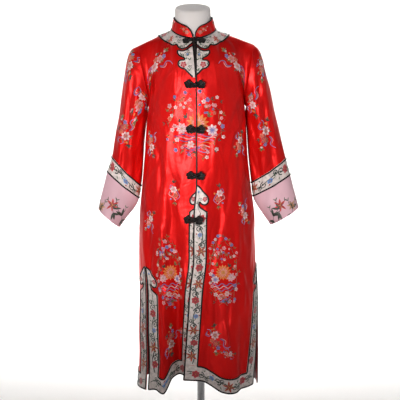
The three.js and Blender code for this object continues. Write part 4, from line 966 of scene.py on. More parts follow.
def bump_layers(tree, shader, *layers):
    """Bumps one on another; each layer is a height output, its strength and its depth in millimetres."""
    normal = None
    for height, strength, depth in layers:
        inputs = {"Height": height, "Strength": strength, "Distance": depth * METRES}
        if normal is not None:
            inputs["Normal"] = normal
        normal = add_node(tree, "Bump", inputs=inputs).outputs[0]
    tree.links.new(normal, shader.inputs["Normal"])


MATERIALS = {}


def satin_material(name, colour, painted_shade, roughness, crinkle, shine):
    """Silk satin, woven with long floats and pressed: soft hollows about 60 mm wide, drawn out up and down,
    bend the lamps' light into broad bright patches, over smaller dents of about 26 mm. The thread is 0.25 mm
    in truth and drawn at 1.2 mm so that it shows at all."""
    material, tree, shader = start_material(
        name, Roughness=roughness, IOR=1.42, Metallic=shine,
        Specular_Tint=(*[min(1.0, c * 1.1 + 0.4) for c in colour], 1),
    )
    place = place_of(tree)
    long_place = add_node(tree, "Mapping", inputs={"Vector": place, "Scale": (1.0, 1.0, 0.36)})
    # Painted shade and sheen: slow streaks, drawn out up and down, blend the satin colour down to its painted
    # shade colour, standing in for light and shade along the folds; where it is darker the roughness is also
    # a little higher.
    slow = noise_at(tree, long_place.outputs[0], 60, 2.0)
    tone = add_node(tree, "MapRange", inputs={0: slow.outputs[0], 1: 0.35, 2: 0.65})
    tree.links.new(blend_colours(tree, tone.outputs[0], painted_shade, colour), shader.inputs["Base Color"])
    creased = add_node(tree, "TexNoise", inputs={
        "Vector": long_place.outputs[0], "Scale": noise_scale(62), "Detail": 1.5, "Distortion": 0.7,
    })
    fine = add_node(tree, "TexNoise", inputs={
        "Vector": place, "Scale": noise_scale(26), "Detail": 1.0, "Distortion": 0.8,
    })
    warp = add_node(tree, "TexWave", {"bands_direction": "X"}, {
        "Vector": place, "Scale": wave_scale(1.2), "Distortion": 1.0, "Detail Scale": 4.0,
    })
    gloss = add_node(tree, "MapRange", inputs={
        0: slow.outputs[0], 1: 0.3, 2: 0.7, 3: roughness + 0.05, 4: roughness - 0.04,
    })
    tree.links.new(gloss.outputs[0], shader.inputs["Roughness"])
    bump_layers(
        tree, shader, (creased.outputs[0], crinkle, 16.0), (fine.outputs[0], crinkle * 0.5, 2.2),
        (warp.outputs["Color"], 0.06, 0.1),
    )
    return material


def ribbon_material(name, colour):
    """Figured silk ribbon, woven with a fine weft rib: dull and slightly mottled, with a rib every 1.6 mm
    (0.4 mm in truth, drawn coarser so that it shows)."""
    material, tree, shader = start_material(name, Roughness=0.55, IOR=1.5, Sheen_Weight=0.2)
    place = place_of(tree)
    mottle = noise_at(tree, place, 9, 4.0)
    dull = tuple(c * 0.7 for c in colour)
    tone = add_node(tree, "MapRange", inputs={0: mottle.outputs[0], 1: 0.38, 2: 0.62})
    tree.links.new(blend_colours(tree, tone.outputs[0], dull, colour), shader.inputs["Base Color"])
    rib = lines_at(tree, place, "Z", 1.6)
    figure = add_node(tree, "TexVoronoi", inputs={"Vector": place, "Scale": noise_scale(7)})
    bump_layers(tree, shader, (rib.outputs["Color"], 0.2, 0.2), (figure.outputs[0], 0.08, 0.3))
    return material


def binding_material(name, colour):
    """Black satin cut on the bias and folded: nearly black with a thin soft highlight along its back."""
    material, tree, shader = start_material(name, Roughness=0.5, IOR=1.3)
    place = place_of(tree)
    worn = noise_at(tree, place, 5, 3.0)
    lighter = tuple(c * 2 + 0.003 for c in colour)
    tree.links.new(blend_colours(tree, worn.outputs[0], colour, lighter), shader.inputs["Base Color"])
    bias = lines_at(tree, place, "DIAGONAL", 1.1)
    bump_layers(tree, shader, (bias.outputs["Color"], 0.3, 0.15), (worn.outputs[0], 0.3, 0.5))
    return material


def floss_material(name):
    """Silk floss in satin stitch, laid flat and untwisted: shiny strands side by side, dyed by the point.
    A strand is 0.3 mm in truth and drawn at 0.9 mm."""
    material, tree, shader = start_material(name, Roughness=0.38, IOR=1.5, Sheen_Weight=0.3, Anisotropic=0.4)
    dye = add_node(tree, "Attribute", {"attribute_name": "dye"})
    strand_place = add_node(tree, "UVMap", {"uv_map": "stitch"})
    strand = add_node(tree, "TexWave", {"bands_direction": "X"}, {
        "Vector": strand_place.outputs[0], "Scale": wave_scale(0.9), "Distortion": 1.5, "Detail Scale": 2.0,
    })
    # Painted shade between the strands and a faint painted highlight along them: the strand waves darken the
    # dye to 0.72 in the grooves and lift it to 1.08 on the strands.
    painted_shade = add_node(tree, "MapRange", inputs={0: strand.outputs["Color"], 3: 0.72, 4: 1.08})
    tint = add_node(tree, "Mix", {"data_type": "RGBA", "blend_type": "MULTIPLY"}, {
        0: 1.0, 6: dye.outputs["Color"], 7: painted_shade.outputs[0],
    })
    tree.links.new(tint.outputs[2], shader.inputs["Base Color"])
    bump_layers(tree, shader, (strand.outputs["Color"], 0.5, 0.3))
    return material


def jersey_material(name, colour):
    """Cotton jersey stretched over a padded form: matt, with a fine knitted grain (1 mm wales, drawn at
    1.8 mm) and faint shading where it has yellowed."""
    material, tree, shader = start_material(name, Roughness=0.85, IOR=1.46, Sheen_Weight=0.15)
    place = place_of(tree)
    aged = noise_at(tree, place, 45, 3.0)
    old = tuple(c * k for c, k in zip(colour, (0.92, 0.89, 0.84)))
    tree.links.new(blend_colours(tree, aged.outputs[0], colour, old), shader.inputs["Base Color"])
    wale = lines_at(tree, place, "X", 1.8)
    course = lines_at(tree, place, "Z", 1.5)
    bump_layers(tree, shader, (wale.outputs["Color"], 0.2, 0.2), (course.outputs["Color"], 0.2, 0.2))
    return material


def steel_material(name):
    """Mild steel tube and plate, brushed and lacquered: grey metal with fine lines round it."""
    material, tree, shader = start_material(name, Metallic=1.0, Roughness=0.32)
    shader.inputs["Base Color"].default_value = (*srgb("A9A9AB"), 1)
    place = place_of(tree)
    line = noise_at(tree, place, 6, 8.0)
    gloss = add_node(tree, "MapRange", inputs={0: line.outputs[0], 1: 0.3, 2: 0.7, 3: 0.24, 4: 0.42})
    tree.links.new(gloss.outputs[0], shader.inputs["Roughness"])
    brushed = lines_at(tree, place, "Z", 1.0)
    bump_layers(tree, shader, (brushed.outputs["Color"], 0.08, 0.05))
    return material


def make_materials(colours):
    MATERIALS.update(
        # The second colour of the red and the pink satin is painted shade, blended in by satin_material; the
        # cuff's is its own colour at 0.8.
        satin=satin_material("silk_satin_red_pressed", colours.satin, colours.satin_painted_shade, 0.36, 0.9, 0.38),
        lining=satin_material("silk_twill_lining_dark_red", colours.lining, colours.lining, 0.5, 0.2, 0.0),
        cuff=satin_material(
            "silk_satin_pink_pressed", colours.cuff, tuple(c * 0.8 for c in colours.cuff), 0.5, 0.35, 0.0
        ),
        ribbon=ribbon_material("silk_ribbon_figured_ivory", colours.ribbon),
        binding=binding_material("silk_satin_bias_binding_black", colours.binding),
        cord=binding_material("rayon_cord_twisted_black", colours.binding),
        floss=floss_material("silk_floss_satin_stitch"),
        jersey=jersey_material("cotton_jersey_form_cover", colours.form),
        steel=steel_material("mild_steel_brushed"),
    )


def in_mm(value):
    return value / METRES


PANEL_TURNING = 40


def make_panels(sizes):
    finish = [MATERIALS["satin"], MATERIALS["lining"]]
    for name, cloth in PANELS.items():
        vertices, faces, side = shell(cloth.points, cloth.normals, 0, -in_mm(sizes.cloth), cloth.flip)
        piece = make_object(f"robe_{name}", vertices, faces, finish, side, "red_satin", [name])
        at_hem = cloth.total_at(HEM)
        width = at_hem + 4 if name == "back" else max(at_hem, cloth.total_at(BUST)) + 30
        declare_sheet(piece, width + PANEL_TURNING, TOP_ROW - HEM + PANEL_TURNING)


def sleeve_part(cloth, start, end, thickness):
    rows = (cloth.rows >= start - 1e-6) & (cloth.rows <= end + 1e-6)
    return shell(cloth.points[rows], cloth.normals[rows], 0, -thickness, cloth.flip, True)


SLEEVE_PARTS = (
    ("sleeve", 0, SLEEVE_BAND_RING, "satin", "red_satin"),
    ("sleeve_band", SLEEVE_BAND_RING, CUFF_RING, "ribbon", "pale_ribbon"),
    ("cuff", CUFF_RING, LAST_RING, "cuff", "pink_satin"),
)


def make_sleeves(sizes):
    for side, cloth in SLEEVE_CLOTHS.items():
        for part, start, end, finish, slot in SLEEVE_PARTS:
            vertices, faces, inner = sleeve_part(cloth, start, end, in_mm(sizes.cloth))
            node = f"{part}_{side}"
            inside = MATERIALS["lining"] if part != "cuff" else MATERIALS["cuff"]
            piece = make_object(
                f"robe_{node}", vertices, faces, [MATERIALS[finish], inside], inner, slot, [node]
            )
            rings = np.arange(start, end + 1)
            loops = cloth.at(rings[:, None], np.arange(0, 360, 3.0)[None, :])[0]
            around = np.linalg.norm(np.diff(loops, axis=1, append=loops[:, :1]), axis=2).sum(1).max()
            long = np.linalg.norm(np.diff(loops, axis=0), axis=2).sum(0).max()
            declare_sheet(piece, around, long + 2)
        make_sleeve_bindings(side, cloth, sizes)


SLEEVE_EDGES = (("upper", SLEEVE_BAND_RING + 0.06), ("lower", CUFF_RING - 0.06), ("cuff", LAST_RING - 0.04))


def make_sleeve_bindings(side, cloth, sizes):
    degrees = np.arange(0, 360, 3.0)
    for name, ring in SLEEVE_EDGES:
        points, normals = cloth.at(np.full(len(degrees), ring), degrees)
        height = in_mm(sizes.binding_height)
        width = in_mm(sizes.binding) if name != "cuff" else 2.0
        vertices, faces = tube(
            points + normals * (height / 2 if name != "cuff" else 0), width / 2, 10, True, height / 2, normals
        )
        finish, slot = ("cuff", "pink_satin") if name == "cuff" else ("binding", "black_binding")
        nodes = [f"sleeve_binding_{name}_{side}"] if name != "cuff" else []
        make_object(f"sleeve_edge_{name}_{side}", vertices, faces, [MATERIALS[finish]], None, slot, nodes)


def ribbon_levels(sizes):
    low = in_mm(sizes.ribbon_gap)
    return low, low + in_mm(sizes.ribbon)


def band_outline(cloth, edge, foot):
    """Closed outline of a band from the hem band up to the tip of its head."""
    start = HEM + HEM_BAND - 0.24
    side = [(r, from_edge(cloth, edge, r, BAND_WIDTH)) for r in np.arange(start, foot - 4, 4.0)]
    head = head_path(cloth, edge, foot)
    tip = head[-1, 0]
    back = [(r, from_edge(cloth, edge, r, 0.6)) for r in np.arange(tip, start - 0.1, -4.0)]
    return np.array([*side, *head, *back, (start, from_edge(cloth, edge, start, 0.6))])


BAND_NAMES = {
    ("front_left", "first"): "front_band_left", ("front_right", "first"): "front_band_right",
    ("front_left", "last"): "side_band_front_left", ("front_right", "last"): "side_band_front_right",
    ("back", "first"): "side_band_back_left", ("back", "last"): "side_band_back_right",
}


def make_bands(sizes):
    low, high = ribbon_levels(sizes)
    for panel, heads in HEADS.items():
        cloth = PANELS[panel]
        for edge, foot in heads:
            mesh = lay_piece(cloth, band_outline(cloth, edge, foot), low, high)
            piece = make_ribbon(BAND_NAMES[panel, edge], mesh)
            length = foot + HEAD_HEIGHT - HEM - HEM_BAND + 20
            declare_sheet(piece, BAND_WIDTH + 8, length)
        total = cloth.total_at(HEM)
        rows = np.arange(HEM + 0.6, HEM + HEM_BAND + 0.1, 4.0)
        low_line = [(HEM + 0.6, c) for c in np.arange(0.6, total - 0.6, 4.0)]
        right = [(r, cloth.total_at(r) - 0.6) for r in rows]
        top_row = HEM + HEM_BAND - 0.3
        high_line = [(top_row, c) for c in np.arange(cloth.total_at(top_row) - 0.6, 0.6, -4.0)]
        left = [(r, 0.6) for r in rows[::-1]]
        outline = np.array(low_line + right + high_line + left)
        piece = make_ribbon(f"hem_band_{panel}", lay_piece(cloth, outline, low, high))
        declare_sheet(piece, total + 30, HEM_BAND + 4)


NECK_SLIT_FOOT = 1328


def make_bindings(sizes):
    """The black bindings of the panels: one round the free edges, one along the inner side of the ribbons."""
    width, height = in_mm(sizes.binding), in_mm(sizes.binding_height)
    base = ribbon_levels(sizes)[1]
    half = width / 2
    for panel, heads in HEADS.items():
        cloth = PANELS[panel]
        top = {"front_left": HEM + half, "front_right": TOP_ROW - 9, "back": SLIT_TOP}[panel]
        outer = [(r, half) for r in np.arange(top, HEM + half, -4.0)]
        total = cloth.total_at(HEM)
        outer += [(HEM + half, c) for c in np.arange(half, total - half, 4.0)]
        outer += [(r, cloth.total_at(r) - half) for r in np.arange(HEM + half, SLIT_TOP, 4.0)]
        make_bias(f"edge_binding_{panel}", bind(cloth, np.array(outer), width, height, base - 0.6))
        (_, first_foot), (_, last_foot) = heads
        inner_at = BAND_WIDTH - half
        hem_row = HEM + HEM_BAND - half
        first_head = head_path(cloth, "first", first_foot, half)
        last_head = head_path(cloth, "last", last_foot, half)
        path = [*first_head[::-1]]
        path += [(r, inner_at) for r in np.arange(first_foot - 6, hem_row, -4.0)]
        path += [(hem_row, c) for c in np.arange(inner_at, cloth.total_at(hem_row) - inner_at, 4.0)]
        path += [(r, cloth.total_at(r) - inner_at) for r in np.arange(hem_row, last_foot - 6, 4.0)]
        path += [*last_head]
        head_too = ["head_binding_front_left"] if panel == "front_left" else []
        make_bias(f"inner_binding_{panel}", bind(cloth, np.array(path), width, height, base - 0.4), *head_too)
    cloth = PANELS["front_left"]
    foot = np.interp(NECK_SLIT_FOOT, cloth.points[:, 0, 2], cloth.rows)
    path = np.array([(r, half * 0.7) for r in np.arange(foot, TOP_ROW - 9, 3.0)])
    make_bias("neck_binding_left", bind(cloth, path, width * 0.7, height, base - 0.6))


def neck_rim(panel, outline, sign):
    """A neck outline of the front view as row and column values of a panel."""
    line = rounded(outline, 4)
    return find_on_panel(panel, NECK["mid_x"] + sign * line[:, 0], line[:, 1], BUST, TOP_ROW)


def tidy_path(path, step):
    """Evens out a path found on the cloth and takes the small steps out of it."""
    line = evenly(path, step)
    for _ in range(3):
        line[1:-1] = (line[:-2] + 2 * line[1:-1] + line[2:]) / 4
    return line


NECK_CLEARANCE = 8.0


def make_neck_pieces(sizes):
    """The cloud-shaped appliques of the neck: yoke and tab on both fronts, and the yoke of the back."""
    low, high = ribbon_levels(sizes)
    width, height = in_mm(sizes.binding), in_mm(sizes.binding_height)
    half = width / 2
    top = TOP_ROW - NECK_CLEARANCE
    pieces = []
    for side, sign in (("left", -1), ("right", 1)):
        panel = f"front_{side}"
        rim = tidy_path(neck_rim(panel, YOKE_OUTLINE, sign), 4.0)
        rim[:, 0] = np.minimum(rim[:, 0], TOP_ROW - 1)
        ends = [(r, 0.8) for r in np.arange(top, rim[0, 0], -4.0)]
        over = [(top if c < 70 else TOP_ROW - 1, c) for c in np.arange(rim[-1, 1], 1.0, -4.0)]
        pieces.append((f"yoke_{side}", panel, rim, np.array([*rim, *over, *ends])))
        rim = tidy_path(neck_rim(panel, TAB_OUTLINE, sign), 4.0)
        ends = [(r, 0.8) for r in np.arange(rim[-1, 0], rim[0, 0], 4.0)]
        pieces.append((f"tab_{side}", panel, rim, np.array([*rim, *ends])))
    mirrored = [(-x, z) for x, z in reversed(BACK_YOKE_OUTLINE[1:])] + BACK_YOKE_OUTLINE
    rim = tidy_path(neck_rim("back", mirrored, 1), 4.0)
    rim[:, 0] = np.minimum(rim[:, 0], TOP_ROW - 1)
    low_end, high_end = rim[-1, 1], rim[0, 1]
    over = [(TOP_ROW - NECK_CLEARANCE, c) for c in np.linspace(low_end, high_end, 80)[1:-1]]
    pieces.append(("yoke_back", "back", rim, np.array([*rim, *over])))
    for name, panel, rim, outline in pieces:
        cloth = PANELS[panel]
        mesh = lay_piece(cloth, outline, low, high, 4.0)
        piece = make_ribbon(name, mesh)
        size = np.ptp(mesh[0], axis=0)
        declare_sheet(piece, size[0] + 10, max(size[2], 30) + 40)
        node = name.replace("yoke", "yoke_binding").replace("tab", "tab_binding")
        make_bias(node, bind(cloth, rim, width, height, high - 0.4))


COLLAR_COLUMNS = 140


def make_collar_cloth():
    k = np.arange(COLLAR_COLUMNS + 1)
    t = np.abs(2 * k / COLLAR_COLUMNS - 1)
    start = np.where(k * 2 < COLLAR_COLUMNS, NECK["left_start"], NECK["right_start"])
    turn = mix(180, start, 1 - (1 - t) ** 1.5)
    angles = np.where(k * 2 <= COLLAR_COLUMNS, -turn, turn - 360)
    per_degree = math.pi * NECK["half_width"] / 180
    from_edge_mm = np.minimum(-angles - NECK["left_start"], angles + 360 - NECK["right_start"]) * per_degree
    heights = np.linspace(0, COLLAR["height"], 14)
    base = neckline_point(angles)
    s, c = np.sin(np.radians(angles)), np.cos(np.radians(angles))
    depth = np.where(c > 0, COLLAR["top_front"], COLLAR["top_back"])
    top = np.stack([NECK["mid_x"] - 2 + COLLAR["top_half"] * s, -depth * c, base[:, 2]], -1)
    ease = np.sqrt(1 - (1 - np.clip(from_edge_mm / COLLAR["corner"], 0, 1)) ** 2)
    low_share = COLLAR["corner_low"] / COLLAR["height"]
    reach = mix(low_share, 1, ease)[None, :] * (heights / COLLAR["height"])[:, None]
    points = mix(base[None], top[None], reach[..., None])
    points[..., 2] = base[None, :, 2] + COLLAR["lift"] + COLLAR["height"] * reach
    return Cloth(points, heights, lambda row, column: column, -1)


COLLAR_CLOTH = make_collar_cloth()


def make_collar(sizes):
    cloth = COLLAR_CLOTH
    vertices, faces, side = shell(cloth.points, cloth.normals, 0, -COLLAR["wall"], cloth.flip)
    finish = [MATERIALS["satin"], MATERIALS["lining"]]
    piece = make_object("stand_collar", vertices, faces, finish, side, "red_satin", ["collar"])
    around = np.linalg.norm(np.diff(cloth.points[0], axis=0), axis=1).sum()
    declare_sheet(piece, around + 6, COLLAR["height"] + 3)
    columns = np.arange(0, COLLAR_COLUMNS + 0.1, 0.5)
    width, height = in_mm(sizes.binding), in_mm(sizes.binding_height)
    middle = -COLLAR["wall"] / 2
    rims = [
        bind(cloth, np.column_stack([np.full(len(columns), COLLAR["height"] - 1.4), columns]), width - 0.6,
             COLLAR["wall"] + 2.4, middle - COLLAR["wall"] / 2 - 1.2),
        bind(cloth, np.column_stack([np.full(len(columns), 1.6), columns]), width, height, 0.0),
    ]
    make_bias("collar_binding", joined(rims))


FORM_SIDES = 96
FORM_EASE = 0.975
COVERED_TO = 1462


def form_rings():
    rings = []
    heights = np.unique(np.concatenate([np.arange(838, 1474, 8), np.arange(1474, 1548, 4), FORM["z"]]))
    angles = np.arange(FORM_SIDES) * 2 * math.pi / FORM_SIDES
    for z in heights:
        row = {key: np.interp(z, FORM["z"], v) for key, v in FORM.items()}
        ease = mix(FORM_EASE, 1.0, float(smooth((z - COVERED_TO + 20) / 20)))
        c = signed_power(np.cos(angles), 2 / row["power"])
        y = np.where(c > 0, row["front"] * c, -row["back"] * c) * ease
        x = row["mid_x"] + row["half"] * ease * signed_power(np.sin(angles), 2 / row["power"])
        lean = max(0, z - NECK_CUT_START) / (FORM["z"][-1] - NECK_CUT_START)
        rings.append(np.stack([x, y, z + NECK_CUT_TILT * lean * y / row["back"]], -1))
    return rings


def make_form():
    rings = form_rings()
    top = rings[-1].mean(0)
    for share, rise in ((0.9, 0.9), (0.6, 1.4), (0.25, 1.6)):
        ring = top + (rings[-1] - top) * share
        rings.append(ring + np.array([0, 0, rise]) - np.array([0, 0, 0.4]))
    count, sides = len(rings), FORM_SIDES
    index = np.arange(count * sides).reshape(count, sides)
    after = np.roll(index, -1, axis=1)
    faces = np.stack([index[:-1], index[1:], after[1:], after[:-1]], -1).reshape(-1, 4)[:, ::-1].tolist()
    faces += [index[0][::-1].tolist(), index[-1].tolist()]
    vertices = np.concatenate(rings)
    make_object("dress_form_body", vertices, faces, [MATERIALS["jersey"]], None, "form_cloth", ["form_torso"])


def turned(profile, sides):
    """A turned part from a profile of radius and height, closed on the axis at both ends."""
    angles = np.arange(sides) * 2 * math.pi / sides
    rings = [np.stack([r * np.cos(angles), r * np.sin(angles), np.full(sides, z)], -1) for r, z in profile]
    index = np.arange(len(rings) * sides).reshape(len(rings), sides)
    after = np.roll(index, -1, axis=1)
    faces = np.stack([index[:-1], after[:-1], after[1:], index[1:]], -1).reshape(-1, 4).tolist()
    return np.concatenate(rings), faces + [index[0][::-1].tolist(), index[-1].tolist()]


def make_stand(sizes):
    radius = in_mm(sizes.base_radius)
    edge = [(radius - 2 + 2 * math.sin(a), 2 - 2 * math.cos(a)) for a in np.linspace(0, math.pi / 2, 5)]
    crown = [(radius - 4 + 4 * math.cos(a), 7 + 4 * math.sin(a)) for a in np.linspace(0, math.pi / 2, 6)]
    profile = [*edge, *crown, (radius - 8, BASE_HEIGHT), (HUB_RADIUS + 8, BASE_HEIGHT + 1.6),
               (HUB_RADIUS + 3, BASE_HEIGHT + 3.4), (HUB_RADIUS, BASE_HEIGHT + 8),
               (HUB_RADIUS, HUB_TOP - 1.2),
               (HUB_RADIUS - 1.2, HUB_TOP), (POLE_RADIUS + 1, HUB_TOP)]
    vertices, faces = turned(profile, sizes.sides)
    make_object("stand_foot_turned", vertices, faces, [MATERIALS["steel"]], None, "steel", ["stand_base"])
    flange_top = FORM["z"][0] - STAND_GAP
    flange_foot = flange_top - FLANGE_HEIGHT
    profile = [(POLE_RADIUS - 1, HUB_TOP + STAND_GAP), (POLE_RADIUS, HUB_TOP + 1.5),
               (POLE_RADIUS, flange_foot - 3),
               (POLE_RADIUS + 2, flange_foot), (FLANGE_RADIUS - 1, flange_foot),
               (FLANGE_RADIUS, flange_foot + 1),
               (FLANGE_RADIUS, flange_top - 1), (FLANGE_RADIUS - 1, flange_top)]
    vertices, faces = turned(profile, sizes.sides)
    make_object("stand_tube_turned", vertices, faces, [MATERIALS["steel"]], None, "steel", ["stand_pole"])


def front_height(x, z):
    """The outermost built point at a place of the front view, in millimetres."""
    start = Vector((x * METRES, -1.0, z * METRES))
    graph = bpy.context.evaluated_depsgraph_get()
    hit, place, *_ = bpy.context.scene.ray_cast(graph, start, Vector((0, 1, 0)))
    return np.array(place) / METRES if hit else None


def knot_flower(radius, cord):
    """A flower of looped cord on its plane: five round loops that touch, with a coil in the middle."""
    t = np.linspace(0, 2 * math.pi, 26, endpoint=False)
    far, loop = radius * 0.6, radius * 0.4 - cord * 0.18
    meshes = []
    for k in range(5):
        turn = k * 2 * math.pi / 5 + math.pi / 2
        ring = np.stack([
            far * math.cos(turn) + loop * np.cos(t), far * math.sin(turn) + loop * np.sin(t),
            cord * (0.5 + 0.22 * np.cos(t - turn + math.pi)),
        ], -1)
        meshes.append(tube(ring, cord / 2, 8, True))
    angles = np.linspace(0, 2 * math.pi, 60, endpoint=False)
    edge = radius * (0.74 + 0.16 * np.cos(5 * (angles - math.pi / 2)))
    rings = [
        np.stack([edge * r * np.cos(angles), edge * r * np.sin(angles), np.full(60, h * cord)], -1)
        for r, h in ((0.9, 0.0), (0.96, 0.35), (0.7, 0.75), (0.05, 0.8))
    ]
    index = np.arange(240).reshape(4, 60)
    after = np.roll(index, -1, axis=1)
    faces = np.stack([index[:-1], after[:-1], after[1:], index[1:]], -1).reshape(-1, 4)
    meshes.append((np.concatenate(rings), faces.tolist()))
    t = np.linspace(0, 5 * math.pi, 60)
    coil = np.stack([(0.6 + t * 0.3) * np.cos(t), (0.6 + t * 0.3) * np.sin(t), cord * (1.25 - t * 0.03)], -1)
    meshes.append(tube(coil, cord * 0.45, 8))
    return joined(meshes)


def knot_ball(radius, cord):
    """A round button knot: one cord wound over itself in a ball."""
    t = np.linspace(0, 2 * math.pi, 150, endpoint=False)
    tilt = 0.95 * np.sin(4 * t)
    far = (radius - cord / 2) * (1 + 0.06 * np.cos(12 * t))
    path = np.stack([
        far * np.cos(3 * t) * np.cos(tilt), far * np.sin(3 * t) * np.cos(tilt), far * np.sin(tilt),
    ], -1)
    core_t = np.linspace(0, math.pi, 9)
    core = turned([(max(0.3, (radius - cord * 0.7) * math.sin(a)), -(radius - cord * 0.7) * math.cos(a))
                   for a in core_t], 16)
    return joined([tube(path, cord / 2, 8, True), core])


def placed(mesh, origin, across, upward, outward):
    vertices, faces = mesh
    return origin + vertices @ np.stack([across, upward, outward]), faces


def make_frogs(sizes):
    """Knotted buttons: on each side a flower of cord with two short cords to the opening, where a ball knot
    sits in a loop."""
    cord = in_mm(sizes.cord)
    for name, z, left, right, radius in zip(FROG_NAMES, *FROGS.values()):
        x = float(track(OPENING, "z", z)["x"])
        ends = [front_height(x + offset, z) for offset in (left, right)]
        above, below = (front_height(x + right, z + d) for d in (12, -12))
        across = unit(ends[1] - ends[0])
        outward = unit(np.cross(across, above - below))
        upward = np.cross(outward, across)
        origin = (ends[0] + ends[1]) / 2
        middle = front_height(x, z)
        rise = max(0.0, (middle - origin) @ outward)
        halves = {}
        for half, offset in (("ball", left), ("loop", right)):
            centre = origin + across * offset
            flower = placed(knot_flower(radius, cord), centre, across, upward, outward)
            lanes = []
            for lane in (-0.55, 0.55):
                path = np.array([
                    centre + upward * lane * cord + outward * cord * 0.6,
                    origin + across * offset * 0.45 + upward * lane * cord + outward * (rise + cord * 0.8),
                    origin + upward * lane * cord * 0.8 + outward * (rise + cord * 0.9),
                ])
                lanes.append(tube(rounded(path, 6), cord * 0.42, 8))
            halves[half] = [flower, *lanes]
        ball = placed(
            knot_ball(6.4, cord * 0.75), origin + outward * (rise + cord + 4.4), across, upward, outward
        )
        halves["ball"].append(ball)
        t = np.linspace(0, 2 * math.pi, 36, endpoint=False)
        ring = origin + (across * 6.2 * np.cos(t)[:, None] + upward * 6.2 * np.sin(t)[:, None]) + outward * (
            rise + cord * 1.1
        )
        halves["loop"].append(tube(ring, cord * 0.4, 8, True))
        for half, meshes in halves.items():
            vertices, faces = joined(meshes)
            make_object(
                f"button_{name}_{half}", vertices, faces, [MATERIALS["cord"]], None, "black_cord",
                [f"frog_{name}_{half}"],
            )


# Dyes of the floss: colour at the root and at the tip of a stitched shape
DYES = {
    "rose": ("7A0E1C", "B8242E"), "rose_heart": ("B84454", "E49A9C"), "gold": ("A0641C", "DC9E3E"),
    "lily": ("6A1A12", "C04A30"), "lily_red": ("7E0C14", "D02C2C"), "tan": ("8A5434", "CDA07A"),
    "bud": ("24407E", "7C9CCC"), "vine": ("121E18", "1C2E24"), "leaf": ("1A3222", "466C48"),
    "leaf_dark": ("0E150E", "2A3C26"), "olive": ("3E3A14", "7A7030"), "pink": ("B24258", "E0A6A8"),
    "white": ("B47E88", "E2CCCA"), "lilac": ("443674", "8E80B8"), "blue": ("22367C", "6E8AC4"),
    "orange": ("A83A0C", "E07A24"), "twig": ("3A2014", "6A4428"), "coral": ("A82A1C", "DE6E54"),
}


